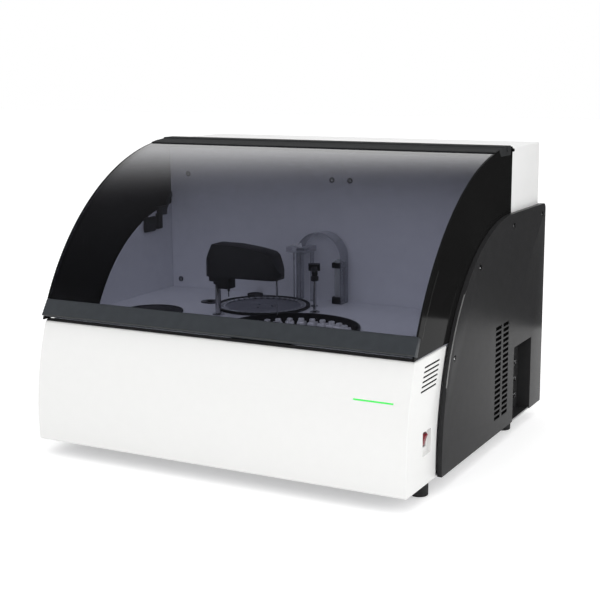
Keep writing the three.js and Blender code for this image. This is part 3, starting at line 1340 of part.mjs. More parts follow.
function washHead() {
  const places = [];
  for (let i = 0; i < NOZZLE_COUNT; i += 1) {
    places.push(nozzlePlace(NOZZLE_SKIP_COUNT + i));
  }
  const xs = places.map(([x]) => x);
  const ys = places.map(([, y]) => y);
  const levels = [WASH_HEAD_Z, WASH_HEAD_Z + WASH_HEAD_HEIGHT];
  const rear = ARCH_FRONT_Y - SEAT;
  const barY = [Math.min(...ys), WASH_COLUMN_Y + WASH_COLUMN_RADIUS];
  const bar = box(about(WASH_COLUMN_X, WASH_BAR_WIDTH), barY, levels);
  const head = box(
    [Math.min(...xs) - WASH_HEAD_MARGIN, WASH_COLUMN_X + WASH_BAR_WIDTH / 2],
    [Math.min(...ys) - WASH_HEAD_MARGIN, rear],
    levels,
  );
  const nozzleZ = [NOZZLE_TIP_Z, WASH_HEAD_Z + SEAT];
  const nozzles = places.map(([x, y]) => rod(x, y, NOZZLE_RADIUS, nozzleZ, FINE_SIDES));
  const mastZ = [WASH_COLUMN_FOOT_Z, WASH_HEAD_Z + SEAT];
  const mast = rod(WASH_COLUMN_X, WASH_COLUMN_Y, WASH_COLUMN_RADIUS, mastZ);
  return part("wash_head", joined([bar, head, mast, ...nozzles]), GREY);
}

function archOutline(inset, foot) {
  const radius = ARCH_WIDTH / 2 - inset;
  const middle = ARCH_LEFT_X + ARCH_WIDTH / 2;
  const round = { y: middle, z: ARCH_TOP_Z - ARCH_WIDTH / 2, r: radius };
  return [[middle - radius, foot], ...arcPoints(round, 0, 0, 2 * QUARTER), [middle + radius, foot]];
}

function washArch() {
  const rimClearance = BATH_RIM_RADIUS + SEAT;
  const depth = [ARCH_FRONT_Y, ARCH_FRONT_Y + ARCH_DEPTH];
  const past = [depth[0] - OVERRUN, depth[1] + OVERRUN];
  const shape = without(prismY(archOutline(0, DECK_TOP_Z), depth), [
    prismY(archOutline(ARCH_WALL, DECK_TOP_Z - OVERRUN), past),
    rod(ROTOR_X, ROTOR_Y, rimClearance, [DECK_TOP_Z - OVERRUN, BATH_RIM_Z + SEAT], RING_SIDES),
  ]);
  return part("wash_arch", shape, CLEAR);
}

// Syringe: clamps on a spine, glass barrel and plunger
function syringeClamps() {
  const radius = SYRINGE_RADIUS + SEAT + CLAMP_WALL;
  const across = [SYRINGE_X - radius, SYRINGE_X + radius];
  const rear = SYRINGE_Y + radius + CLAMP_SPINE;
  const along = [SYRINGE_Y - radius, rear];
  const lowerTop = DECK_TOP_Z + CLAMP_HEIGHT + CLAMP_FLOOR;
  const top = CLAMP_UPPER_Z + CLAMP_HEIGHT;
  const shape = joined([
    box(across, along, [DECK_TOP_Z, lowerTop]),
    box(across, along, [CLAMP_UPPER_Z, top]),
    box(across, [rear - CLAMP_SPINE, rear], [DECK_TOP_Z, top]),
  ]);
  const seatZ = [DECK_TOP_Z + CLAMP_FLOOR, top + OVERRUN];
  const cutters = [
    rod(SYRINGE_X, SYRINGE_Y, SYRINGE_RADIUS + SEAT, seatZ),
    rod(SYRINGE_X, SYRINGE_Y, PLUNGER_ROD_RADIUS + BORE, [DECK_TOP_Z - OVERRUN, lowerTop]),
  ];
  return part("syringe_clamps", without(shape, cutters), SOFT_BLACK);
}

function syringeBarrel() {
  const levels = [DECK_TOP_Z + CLAMP_FLOOR + SEAT, CLAMP_UPPER_Z + CLAMP_HEIGHT + BARREL_PROUD];
  const bore = [levels[0] - OVERRUN, levels[1] + OVERRUN];
  const shape = rod(SYRINGE_X, SYRINGE_Y, SYRINGE_RADIUS, levels)
    .subtract(rod(SYRINGE_X, SYRINGE_Y, SYRINGE_BORE_RADIUS, bore));
  return part("syringe_barrel", shape, CLEAR);
}

function syringePlunger() {
  const nutZ = [PLUNGER_FOOT_Z, PLUNGER_FOOT_Z + PLUNGER_NUT_HEIGHT];
  const shape = joined([
    rod(SYRINGE_X, SYRINGE_Y, SYRINGE_BORE_RADIUS - SEAT, [PISTON_Z, PISTON_Z + PISTON_HEIGHT]),
    rod(SYRINGE_X, SYRINGE_Y, PLUNGER_ROD_RADIUS, [PLUNGER_FOOT_Z, PISTON_Z + SEAT]),
    rod(SYRINGE_X, SYRINGE_Y, PLUNGER_NUT_RADIUS, nutZ, HEX_SIDES),
  ]);
  return part("syringe_plunger", shape, SOFT_BLACK);
}

// Wells and plug in the deck
function well(name, x, y, radius, bore, rim, material) {
  const foot = DECK_TOP_Z - WELL_DEPTH;
  const shape = turned([
    [0, foot],
    [radius, foot],
    [radius, DECK_TOP_Z],
    [rim, DECK_TOP_Z],
    [rim, DECK_TOP_Z + WELL_RIM],
    [bore, DECK_TOP_Z + WELL_RIM],
    [bore, foot + WELL_FLOOR],
    [0, foot + WELL_FLOOR],
  ], SHAFT_SIDES);
  return placed(part(name, shape, material), x, y);
}

function deckPlug() {
  const shape = turned([
    [0, DECK_UNDER_Z - PLUG_HEIGHT],
    [PLUG_STEM_RADIUS, DECK_UNDER_Z - PLUG_HEIGHT],
    [PLUG_STEM_RADIUS, DECK_TOP_Z],
    [PLUG_RADIUS, DECK_TOP_Z],
    [PLUG_RADIUS, DECK_TOP_Z + PLUG_HEIGHT],
    [0, DECK_TOP_Z + PLUG_HEIGHT],
  ], 2 * SHAFT_SIDES);
  return placed(part("deck_plug", shape, SOFT_BLACK), PLUG_X, PLUG_Y);
}

// Photometer, power supply, control board and fan
function photometer() {
  const far = ROTOR_Y + BATH_RADIUS + PHOTOMETER_REACH;
  const block = box(
    about(ROTOR_X, PHOTOMETER_WIDTH),
    [far - PHOTOMETER_LENGTH, far],
    about(BATH_FLOOR_Z, PHOTOMETER_HEIGHT),
  );
  const bathZ = [BATH_FLOOR_Z - SEAT, BATH_RIM_Z + OVERRUN];
  const bath = rod(ROTOR_X, ROTOR_Y, BATH_RADIUS + SEAT, bathZ, RING_SIDES);
  return part("photometer", block.subtract(bath), SOFT_BLACK);
}

function powerSupply() {
  const top = PLATE_TOP_Z + SUPPLY_HEIGHT;
  const body = box(about(SUPPLY_X, SUPPLY_WIDTH), about(SUPPLY_Y, SUPPLY_DEPTH), [PLATE_TOP_Z, top]);
  const pitch = SUPPLY_DEPTH / (SUPPLY_SLOTS + 1);
  const slotZ = [top - SUPPLY_SLOT_DEPTH, top + OVERRUN];
  const slots = [];
  for (let i = 1; i <= SUPPLY_SLOTS; i += 1) {
    const along = about(SUPPLY_Y - SUPPLY_DEPTH / 2 + i * pitch, pitch / 3);
    slots.push(box(about(SUPPLY_X, SUPPLY_WIDTH / 2), along, slotZ));
  }
  return part("power_supply", without(body, slots), STEEL);
}

function controlBoard() {
  const low = PLATE_TOP_Z + BOARD_STANDOFF;
  const top = low + BOARD_SHEET;
  const solids = [box(about(BOARD_X, BOARD_WIDTH), about(BOARD_Y, BOARD_DEPTH), [low, top])];
  for (const x of about(BOARD_X, BOARD_WIDTH - 2 * BOARD_MARGIN)) {
    for (const y of about(BOARD_Y, BOARD_DEPTH - 2 * BOARD_MARGIN)) {
      solids.push(rod(x, y, BOARD_STANDOFF_RADIUS, [PLATE_TOP_Z, low + BOARD_SHEET / 2], HEX_SIDES));
    }
  }
  const pitch = BOARD_WIDTH / CHIP_COUNT;
  const chipZ = [top - BOARD_SHEET / 2, top + CHIP_HEIGHT];
  for (let i = 0; i < CHIP_COUNT; i += 1) {
    const x = BOARD_X + ((2 * i + 1) * pitch - BOARD_WIDTH) / 2;
    const y = BOARD_Y + ((i % 2) * 2 - 1) * CHIP_SIZE;
    solids.push(box(about(x, CHIP_SIZE), about(y, CHIP_SIZE), chipZ));
  }
  return part("control_board", joined(solids), BOARD_GREEN);
}

const FAN_FRONT_Y = REAR_INNER_Y - FAN_DEPTH;

function fanHousing() {
  const depth = [FAN_FRONT_Y, REAR_INNER_Y];
  const past = [FAN_FRONT_Y - OVERRUN, REAR_INNER_Y + OVERRUN];
  const frame = box(about(FAN_X, FAN_SIZE), depth, about(FAN_Z, FAN_SIZE))
    .subtract(rodY(FAN_X, FAN_Z, FAN_BORE_RADIUS, past, RING_SIDES));
  const strutY = [FAN_FRONT_Y, FAN_FRONT_Y + FAN_STRUT_DEPTH];
  const reach = 2 * FAN_BORE_RADIUS + FAN_STRUT_WIDTH / 2;
  return part("fan_housing", joined([
    frame,
    box(about(FAN_X, reach), strutY, about(FAN_Z, FAN_STRUT_WIDTH)),
    box(about(FAN_X, FAN_STRUT_WIDTH), strutY, about(FAN_Z, reach)),
    rodY(FAN_X, FAN_Z, FAN_HUB_RADIUS, strutY),
    rodY(FAN_X, FAN_Z, FAN_PIN_RADIUS, [FAN_FRONT_Y, REAR_INNER_Y - FAN_STRUT_DEPTH]),
  ]), SOFT_BLACK);
}

function fanRotor() {
  const depth = [FAN_FRONT_Y + FAN_STRUT_DEPTH + SEAT, REAR_INNER_Y - FAN_STRUT_DEPTH];
  const middle = (depth[0] + depth[1]) / 2;
  const tip = FAN_BORE_RADIUS - FAN_TIP_GAP;
  const root = FAN_HUB_RADIUS - FAN_STRUT_DEPTH;
  const chord = Math.min(FAN_BLADE_CHORD, depth[1] - depth[0]);
  const blades = [];
  for (let i = 0; i < FAN_BLADES; i += 1) {
    const geometry = new THREE.BoxGeometry(tip - root, chord, FAN_BLADE_SHEET);
    geometry.rotateX(radians(FAN_BLADE_PITCH));
    geometry.translate((tip + root) / 2, 0, 0);
    geometry.rotateY((i * 4 * QUARTER) / FAN_BLADES);
    blades.push(solid(geometry.translate(FAN_X, middle, FAN_Z)));
  }
  const hub = rodY(FAN_X, FAN_Z, FAN_HUB_RADIUS, depth);
  const bore = rodY(FAN_X, FAN_Z, FAN_PIN_RADIUS + BORE, [depth[0] - OVERRUN, depth[1] + OVERRUN]);
  return part("fan_rotor", joined([hub, ...blades]).subtract(bore), SOFT_BLACK);
}

// The assembled analyzer
const TRAY_SHAFT_TOP_Z = TRAY_FLOOR_Z + TRAY_HUB_HEIGHT / 2 - SEAT;
const ROTOR_SHAFT_TOP_Z = ROTOR_Z - SEAT;
const analyzer = new THREE.Group();
analyzer.add(
  basePlate(),
  ...Object.entries(FOOT_PLACES).map(([name, place]) => foot(name, place)),
  frontCover(),
  lightBar(),
  switchHousing(),
  powerRocker(),
  sidePanel(LEFT, "side_panel_left"),
  sidePanel(RIGHT, "side_panel_right"),
  sideFrame(LEFT, "side_frame_left"),
  sideFrame(RIGHT, "side_frame_right"),
  connectorRecess(),
  rearHousing(),
  rearPanel(),
  powerInlet(),
  deck(),
  backWall(),
  backWallUpper(),
  lidSeal(),
  hingeBracket(LEFT, "hinge_bracket_left"),
  hingeBracket(RIGHT, "hinge_bracket_right"),
  lidSensor(),
  lidHandle(),
  lidSheet(),
  lidTopRail(),
  lidCheek(LEFT, "lid_cheek_left"),
  lidCheek(RIGHT, "lid_cheek_right"),
  reagentBowl(),
  reagentTray(),
  bottleRing(),
  reactionBath(),
  reactionRotor(),
  cuvetteRing(),
  motor("tray_motor", TRAY_X, TRAY_Y, BOWL_FLOOR_Z, TRAY_SHAFT_TOP_Z),
  motor("rotor_motor", ROTOR_X, ROTOR_Y, BATH_FLOOR_Z, ROTOR_SHAFT_TOP_Z),
  tower("probe_tower", PROBE_X, PROBE_Y, -1, PROBE_TOWER_WIDTH),
  carriage(
    "probe_carriage", PROBE_X, PROBE_Y, -1, PROBE_CARRIAGE_WIDTH, PROBE_CARRIAGE_Z, PROBE_COLUMN_RADIUS,
  ),
  probeColumn(),
  probeArmCover(),
  probeNeedle(),
  tower("stirrer_tower", STIRRER_X, STIRRER_Y, 1, STIRRER_TOWER_WIDTH),
  carriage(
    "stirrer_carriage", STIRRER_X, STIRRER_Y, 1, STIRRER_CARRIAGE_WIDTH, STIRRER_CARRIAGE_Z,
    STIRRER_COLUMN_RADIUS,
  ),
  stirrerArm(),
  stirrerPaddle(),
  washHead(),
  washArch(),
  syringeClamps(),
  syringeBarrel(),
  syringePlunger(),
  well(
    "probe_wash_well", WELL_X, WELL_Y, PROBE_WELL_RADIUS, PROBE_WELL_BORE_RADIUS,
    PROBE_WELL_RIM_RADIUS, SOFT_BLACK,
  ),
  well(
    "stirrer_wash_well", PADDLE_X, PADDLE_Y, STIRRER_WELL_RADIUS, STIRRER_WELL_BORE_RADIUS,
    STIRRER_WELL_RIM_RADIUS, GREY,
  ),
  deckPlug(),
  photometer(),
  powerSupply(),
  controlBoard(),
  fanHousing(),
  fanRotor(),
);

export default analyzer;
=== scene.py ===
"""Looks of the benchtop chemistry analyzer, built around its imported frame.

Lengths are in millimetres, with X to the right seen from the front, Y to the rear and Z up.
Each piece becomes metres when it is finished.
"""

import logging
import math
from dataclasses import dataclass, field
from enum import Enum
from functools import cache
from typing import Iterable, Sequence

import bmesh
import bpy
from mathutils import Matrix, Vector


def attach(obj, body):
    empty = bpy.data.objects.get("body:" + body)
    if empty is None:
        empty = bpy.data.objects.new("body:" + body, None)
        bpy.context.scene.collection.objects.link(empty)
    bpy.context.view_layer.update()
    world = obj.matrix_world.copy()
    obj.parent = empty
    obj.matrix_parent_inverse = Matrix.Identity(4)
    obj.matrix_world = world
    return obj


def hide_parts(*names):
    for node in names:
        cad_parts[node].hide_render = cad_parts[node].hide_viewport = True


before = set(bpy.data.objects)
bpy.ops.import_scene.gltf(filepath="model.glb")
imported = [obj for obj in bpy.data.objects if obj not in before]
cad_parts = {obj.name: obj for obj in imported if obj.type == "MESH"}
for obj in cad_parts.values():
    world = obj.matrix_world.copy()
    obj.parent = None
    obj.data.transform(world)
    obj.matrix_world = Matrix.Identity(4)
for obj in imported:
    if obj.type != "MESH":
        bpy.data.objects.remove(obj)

Mesh = bmesh.types.BMesh
Socket = bpy.types.NodeSocket
Point = tuple[float, float]
Span = tuple[float, float]
Colour = tuple[float, float, float]
Place = tuple[float, float, float]
LOG = logging.getLogger("analyzer")
MM = 0.001
# Edges that turn more than this, in radians, are drawn sharp or rounded.
SHARP = math.radians(34)
# Faces that turn less than this, in radians, are one flat face.
FLAT = math.radians(1)
# Points that stand closer than this, in millimetres, are one point.
WELD = 1e-3
# Edges shorter than this, in metres, are dropped.
SPECK = 1e-7


# Finishes

# Size of the worn patches, and of the patches of colour, in grains.
WEAR_GRAINS = 12
DRIFT_GRAINS = 30
# How far the roughness changes where a finish is worn, as a share, and how strong the grain is.
WEAR = 0.15
GRAIN_STRENGTH = 0.6
# How late a clear sheet turns solid where it turns away, and how solid it gets.
TURN_POWER = 2.4
TURN_SOLID = 1.2
# Size of a circuit board's tracks, and of the spots in a light, in millimetres.
TRACK_SIZE = 9
SPOT_SIZE = 10
GLOW = 0.75


class Weave:
    """A node tree that is built node by node."""

    def __init__(self, owner: bpy.types.Material | bpy.types.World) -> None:
        """Keeps the owner's node tree and its surface shader.

        Args:
            owner: The material or the world.
        """
        owner.use_nodes = True
        self.nodes = owner.node_tree.nodes
        self.links = owner.node_tree.links
        self.shader = self.nodes.get("Principled BSDF")

    def fill(self, node: bpy.types.Node, inputs: dict[str | int, object]) -> None:
        """Gives each named input of a node its value, or links it to a socket.

        Args:
            node: The node.
            inputs: A value or a socket for each input.
        """
        for name, value in inputs.items():
            if isinstance(value, Socket):
                self.links.new(value, node.inputs[name])
            else:
                node.inputs[name].default_value = value

    def add(self, kind: str, inputs: dict[str | int, object], **settings: object) -> bpy.types.Node:
        """Adds a node.

        Args:
            kind: Its type, after the word ShaderNode.
            inputs: A value or a socket for each input.
            settings: Its own settings.

        Returns:
            The node.
        """
        node = self.nodes.new(f"ShaderNode{kind}")
        for name, value in settings.items():
            setattr(node, name, value)
        self.fill(node, inputs)
        return node

    def maths(self, operation: str, first: Socket, second: Socket | float) -> Socket:
        """The result of one step of arithmetic."""
        return self.add("Math", {0: first, 1: second}, operation=operation).outputs["Value"]

    def background_rays(self) -> Socket:
        """A socket that is 1 for the rays that show the background, not those that light.

        Returns:
            The socket.
        """
        rays = self.add("LightPath", {}).outputs
        seen = self.maths("MAXIMUM", rays["Is Camera Ray"], rays["Is Glossy Ray"])
        return self.maths("MAXIMUM", seen, rays["Is Transmission Ray"])


class Surface(Enum):
    """What a finish is made of."""

    PAINT = "paint"
    MOULDED = "moulded"
    METAL = "metal"
    RUBBER = "rubber"
    CLEAR = "clear"
    GLOW = "glow"
    BOARD = "board"


@dataclass(frozen=True)
class Finish:
    """A procedural finish on Object coordinates.

    Args:
        name: The material's name.
        slot: The record's material slot that it belongs to; not used.
        colour: Linear base colour.
        surface: What it is made of.
        roughness: The mean roughness.
        grain: Size of the surface's grain, in millimetres.
        height: Height of the grain, in millimetres.
        mottle: How far the colour varies, as a share.
        streak: How far the grain is drawn out along each axis.
        tint: Colour that a clear sheet lets through.
        body: Share of a clear sheet that is solid to light.
        gloss: Specular level.
        ior: Index of refraction.
    """

    name: str
    slot: str
    colour: Colour
    surface: Surface = Surface.MOULDED
    roughness: float = 0.4
    grain: float = 0.8
    height: float = 0.01
    mottle: float = 0.04
    streak: Place = (1.0, 1.0, 1.0)
    tint: Colour = (0.8, 0.8, 0.8)
    body: float = 0.05
    gloss: float = 0.5
    ior: float = 1.5

    @cache
    def material(self) -> bpy.types.Material:
        """Makes the material once.

        Returns:
            The material.
        """
        made = bpy.data.materials.new(f"{self.name}_finish")
        made.diffuse_color = self.shade(1)
        weave = Weave(made)
        coordinates = weave.add("TexCoord", {}).outputs["Object"]
        place = weave.add("Mapping", {"Vector": coordinates, "Scale": self.streak})
        at = place.outputs["Vector"]
        weave.fill(weave.shader, {
            "Base Color": self.shade(1), "Metallic": float(self.surface is Surface.METAL),
            "Specular IOR Level": self.gloss, "IOR": self.ior, "Roughness": self.roughness,
        })
        weave.fill(weave.shader, {
            "Roughness": self.worn(weave, at), "Normal": self.grained(weave, at),
        })
        if self.surface is Surface.BOARD:
            weave.fill(weave.shader, {"Base Color": self.tracks(weave, at)})
        elif self.surface is Surface.GLOW:
            spots = self.drift(weave, self.noise(weave, at, SPOT_SIZE, 1), (0.8, 1), (0, 1))
            weave.fill(weave.shader, {"Emission Color": spots, "Emission Strength": GLOW})
        else:
            soft = self.noise(weave, at, self.grain * DRIFT_GRAINS, 3)
            shares = (1 - self.mottle, 1 + self.mottle)
            weave.fill(weave.shader, {"Base Color": self.drift(weave, soft, shares, (0.3, 0.7))})
        if self.surface is Surface.CLEAR:
            self.see_through(weave)
        return made

    def shade(self, share: float) -> tuple[float, ...]:
        """The colour, made lighter or darker by a share."""
        return *[min(1.0, c * share) for c in self.colour], 1

    def noise(self, weave: Weave, at: Socket, size: float, detail: float) -> Socket:
        """A noise with features of a size in millimetres.

        Args:
            weave: The material's nodes.
            at: The coordinates.
            size: Size of the features.
            detail: How many finer layers it has.

        Returns:
            The noise.
        """
        return weave.add("TexNoise", {
            "Vector": at, "Scale": 1 / (size * MM), "Detail": detail,
        }).outputs["Fac"]

    def drift(self, weave: Weave, noise: Socket, shares: Span, spots: Span) -> Socket:
        """Lets the colour drift between two shades.

        Args:
            weave: The material's nodes.
            noise: What the drift follows.
            shares: The darker and the lighter share of the colour.
            spots: Where in the noise the two stand.

        Returns:
            The colour.
        """
        ramp = weave.add("ValToRGB", {"Fac": noise})
        for element, share, spot in zip(ramp.color_ramp.elements, shares, spots):
            element.color = self.shade(share)
            element.position = spot
        return ramp.outputs["Color"]

    def worn(self, weave: Weave, at: Socket) -> Socket:
        """Roughness that changes where hands and cloths have been.

        Args:
            weave: The material's nodes.
            at: The coordinates.

        Returns:
            The roughness.
        """
        return weave.add("MapRange", {
            "Value": self.noise(weave, at, self.grain * WEAR_GRAINS, 2),
            "To Min": self.roughness * (1 - WEAR),
            "To Max": min(1.0, self.roughness * (1 + WEAR)),
        }).outputs["Result"]

    def grained(self, weave: Weave, at: Socket) -> Socket:
        """The normal of the fine grain.

        Args:
            weave: The material's nodes.
            at: The coordinates.

        Returns:
            The normal.
        """
        return weave.add("Bump", {
            "Height": self.noise(weave, at, self.grain, 4), "Strength": GRAIN_STRENGTH,
            "Distance": self.height * MM,
        }).outputs["Normal"]

    def tracks(self, weave: Weave, at: Socket) -> Socket:
        """The copper tracks of a circuit board.

        Args:
            weave: The material's nodes.
            at: The coordinates.

        Returns:
            The colour.
        """
        return weave.add("TexBrick", {
            "Vector": at, "Scale": 1 / (TRACK_SIZE * MM), "Mortar Size": 0.06,
            "Color1": self.shade(1), "Color2": self.shade(1.5), "Mortar": self.shade(3),
        }).outputs["Color"]

    def see_through(self, weave: Weave) -> None:
        """Mixes the shader with tinted clearness, more solid where the surface turns away.

        Args:
            weave: The material's nodes.
        """
        clear = weave.add("BsdfTransparent", {"Color": (*self.tint, 1)})
        edge = weave.add("LayerWeight", {"Blend": 0.5})
        turned_away = weave.maths("POWER", edge.outputs["Facing"], TURN_POWER)
        share = weave.add("MapRange", {
            "Value": turned_away, "To Min": self.body, "To Max": TURN_SOLID,
        }, clamp=True)
        mix = weave.add("MixShader", {
            "Fac": share.outputs["Result"], 1: clear.outputs["BSDF"],
            2: weave.shader.outputs["BSDF"],
        })
        weave.fill(weave.nodes["Material Output"], {"Surface": mix.outputs["Shader"]})


WHITE_COVER = Finish("white_cover", "white_cover", (0.86, 0.86, 0.85), roughness=0.32,
                     grain=0.6, height=0.0015, mottle=0.005)
WHITE_PAINT = Finish("white_paint", "white_paint", (0.85, 0.85, 0.845), Surface.PAINT, 0.45,
                     grain=0.9, height=0.004, mottle=0.006)
DARK_PAINT = Finish("dark_paint", "dark_paint", (0.032, 0.032, 0.033), Surface.PAINT, 0.3,
                    grain=0.7, height=0.006, mottle=0.06, ior=1.12)
GREY_PAINT = Finish("grey_paint", "grey_paint", (0.7, 0.71, 0.74), Surface.PAINT, 0.55,
                    grain=0.9, height=0.02, mottle=0.03)
GREY_PLASTIC = Finish("grey_plastic", "grey_plastic", (0.17, 0.175, 0.2), roughness=0.5,
                      grain=0.7, height=0.012, mottle=0.06)
BLACK_GLOSS = Finish("black_gloss", "black_gloss", (0.01, 0.01, 0.01), roughness=0.08,
                     grain=6, height=0.0002, mottle=0.1, ior=1.09)
SATIN_BAR = Finish("satin_bar", "black_gloss", (0.038, 0.043, 0.049), roughness=0.42,
                   grain=0.6, height=0.004, mottle=0.06, ior=1.3)
RAIL_BLACK = Finish("rail_black", "black_gloss", (0.036, 0.037, 0.038), roughness=0.55,
                    grain=0.6, height=0.004, mottle=0.06, ior=1.06)
SOFT_BLACK = Finish("soft_black", "soft_black", (0.012, 0.012, 0.013), roughness=0.5,
                    grain=0.5, height=0.02, mottle=0.1)
# Near-black, dull fill for the cheek's vent slots and behind the side louvres: painted shade for
# the dark inside of the openings.
PAINTED_SHADE_BLACK = Finish("painted_shade_black", "soft_black", (0.004, 0.004, 0.004), roughness=0.9,
                      ior=1.03)
FOOT_RUBBER = Finish("foot_rubber", "foot_rubber", (0.014, 0.014, 0.015), Surface.RUBBER, 0.75,
                     grain=0.6, height=0.04, mottle=0.15)
GREEN_LIGHT = Finish("green_light", "green_light", (0.05, 0.62, 0.09), Surface.GLOW, 0.3)
RED_ROCKER = Finish("red_rocker", "red_rocker", (0.2, 0.008, 0.016), roughness=0.28,
                    grain=0.5, height=0.006, mottle=0.05)
SMOKED_CLEAR = Finish("smoked_clear", "smoked_clear", (0.02, 0.02, 0.026), Surface.CLEAR, 0.05,
                      grain=40, height=0.002, tint=(0.745, 0.75, 0.792), body=0.02,
                      gloss=1, ior=3.6)
CLEAR_PLASTIC = Finish("clear_plastic", "clear_plastic", (0.6, 0.61, 0.64), Surface.CLEAR, 0.08,
                       grain=20, height=0.002, tint=(0.88, 0.885, 0.9), body=0.06)
GLASS = Finish("glass", "glass", (0.85, 0.88, 0.88), Surface.CLEAR, 0.05,
               grain=20, height=0.001, tint=(0.93, 0.94, 0.94), body=0.3)
BOTTLE_WHITE = Finish("bottle_white", "bottle_white", (0.72, 0.72, 0.73), roughness=0.45,
                      grain=0.5, height=0.01, mottle=0.03)
STEEL = Finish("steel", "steel", (0.5, 0.5, 0.51), Surface.METAL, 0.18,
               grain=0.5, height=0.004, mottle=0.06, streak=(1, 1, 0.08))
ALUMINIUM = Finish("aluminium", "aluminium", (0.62, 0.62, 0.63), Surface.METAL, 0.36,
                   grain=0.4, height=0.006, mottle=0.05, streak=(0.1, 1, 1))
BOARD_GREEN = Finish("board_green", "board_green", (0.02, 0.13, 0.05), Surface.BOARD, 0.4)
BRASS = Finish("brass_fitting", "steel", (0.55, 0.4, 0.16), Surface.METAL, 0.3, grain=0.5,
               height=0.004, mottle=0.06)
SCREW_BLACK = Finish("screw_black", "soft_black", (0.02, 0.02, 0.021), Surface.METAL, 0.3,
                     grain=0.3, height=0.006, mottle=0.1)
EDGE_LINE = Finish("edge_line", "black_gloss", (0.06, 0.06, 0.058), roughness=0.2, grain=2)
# A lighter grey for the strip on the panels' front bend: a painted highlight for the bend's
# reflection.
PAINTED_BEND_HIGHLIGHT = Finish("painted_bend_highlight", "dark_paint", (0.22, 0.22, 0.22), Surface.PAINT, 0.4, grain=2)
ZINC_PLATE = Finish("zinc_plate", "white_paint", (0.3, 0.3, 0.31), Surface.METAL, 0.42,
                    grain=0.8, height=0.004, mottle=0.08)
CLEAR_HEAD = Finish("clear_head", "grey_plastic", (0.4, 0.41, 0.44), Surface.CLEAR, 0.15,
                    grain=20, height=0.002, tint=(0.95, 0.95, 0.96), body=0.04)
BEZEL_GREY = Finish("bezel_grey", "soft_black", (0.6, 0.6, 0.6), roughness=0.4, mottle=0.02)


# Outlines and solids

@dataclass(frozen=True)
class Arc:
    """A turn of the outline's last point about a centre, against the clock, in degrees."""

    centre: Point
    turn: float
    steps: int = 24


@dataclass(frozen=True)
class Curve:
    """A circle seen from the side. Its angle is 0 at its front and grows towards its top."""

    y: float
    z: float
    r: float

    def angle(self, height: float, shift: float = 0) -> float:
        """The angle in degrees at which the shifted circle has this height."""
        return math.degrees(math.asin((height - self.z) / (self.r + shift)))

    def angle_at(self, y: float, shift: float = 0) -> float:
        """The angle in degrees at which the shifted circle's upper half reaches this Y."""
        return math.degrees(math.acos((self.y - y) / (self.r + shift)))

    def point(self, angle: float, shift: float = 0) -> Point:
        """The shifted circle's [y, z] point at an angle in degrees."""
        turn, reach = math.radians(angle), self.r + shift
        return self.y - reach * math.cos(turn), self.z + reach * math.sin(turn)

    def sweep(self, start: float, stop: float, steps: int = 48) -> Arc:
        """The turn from one angle to another, in degrees."""
        return Arc((self.y, self.z), start - stop, steps)

    def wider(self, shift: float) -> "Curve":
        """The same circle with another radius."""
        return Curve(self.y, self.z, self.r + shift)


Path = Sequence[Point | Arc]


class Along(Enum):
    """The axis along which an outline is drawn out, as the outline's own frame."""

    X = Matrix(((0, 0, 1, 0), (1, 0, 0, 0), (0, 1, 0, 0), (0, 0, 0, 1)))
    Y = Matrix(((1, 0, 0, 0), (0, 0, 1, 0), (0, 1, 0, 0), (0, 0, 0, 1)))
    Z = Matrix.Identity(4)


def between(middle: float, width: float) -> Span:
    """The span of a width about its middle."""
    return middle - width / 2, middle + width / 2


def sided(side: int, inner: float, outer: float) -> Span:
    """A span on the right for side 1, and its mirror image on the left for side -1."""
    return (inner, outer) if side > 0 else (-outer, -inner)


def facing(axis: Sequence[float]) -> Matrix:
    """The turn that points Z along an axis."""
    return Vector(axis).to_track_quat("Z", "Y").to_matrix().to_4x4()


def moved(bm: Mesh, place: Sequence[float], angle: float = 0, axis: str = "X") -> Mesh:
    """Turns a solid by an angle in degrees about an axis, and then moves it.

    Args:
        bm: The solid.
        place: Where its origin goes.
        angle: The angle.
        axis: The axis.

    Returns:
        The same solid.
    """
    matrix = Matrix.Translation(place) @ Matrix.Rotation(math.radians(angle), 4, axis)
    bmesh.ops.transform(bm, matrix=matrix, verts=bm.verts[:])
    return bm


def chain(path: Path, closed: bool) -> Mesh:
    """Draws points and arcs as a chain of edges.

    Args:
        path: Points, and arcs that turn the last point.
        closed: True if the chain ends where it starts.

    Returns:
        A bmesh with the edges, in its own XY plane.
    """
    bm = bmesh.new()
    last = None
    for step in path:
        if isinstance(step, Arc):
            swept = bmesh.ops.spin(
                bm, geom=[last], cent=(*step.centre, 0), axis=(0, 0, 1), dvec=(0, 0, 0),
                angle=math.radians(step.turn), steps=step.steps, use_merge=False,
                use_duplicate=False,
            )
            last = next(g for g in swept["geom_last"] if isinstance(g, bmesh.types.BMVert))
        else:
            vert = bm.verts.new((*step, 0))
            if last is not None:
                bm.edges.new((last, vert))
            last = vert
    bm.verts.ensure_lookup_table()
    first = bm.verts[0]
    if closed and (last.co - first.co).length > WELD / 10:
        bm.edges.new((last, first))
    bmesh.ops.remove_doubles(bm, verts=bm.verts[:], dist=WELD)
    return bm


def prism(path: Path, span: Span, along: Along) -> Mesh:
    """Draws out a closed outline.

    Args:
        path: The outline's points and arcs.
        span: Where the solid starts and ends along the axis.
        along: The axis.

    Returns:
        A closed bmesh.
    """
    bm = chain(path, True)
    bmesh.ops.contextual_create(bm, geom=bm.edges[:])
    grown = bmesh.ops.extrude_face_region(bm, geom=bm.faces[:])
    new = [g for g in grown["geom"] if isinstance(g, bmesh.types.BMVert)]
    bmesh.ops.translate(bm, vec=(0, 0, span[1] - span[0]), verts=new)
    bmesh.ops.translate(bm, vec=(0, 0, span[0]), verts=bm.verts[:])
    bmesh.ops.transform(bm, matrix=along.value, verts=bm.verts[:])
    bmesh.ops.recalc_face_normals(bm, faces=bm.faces[:])
    return bm


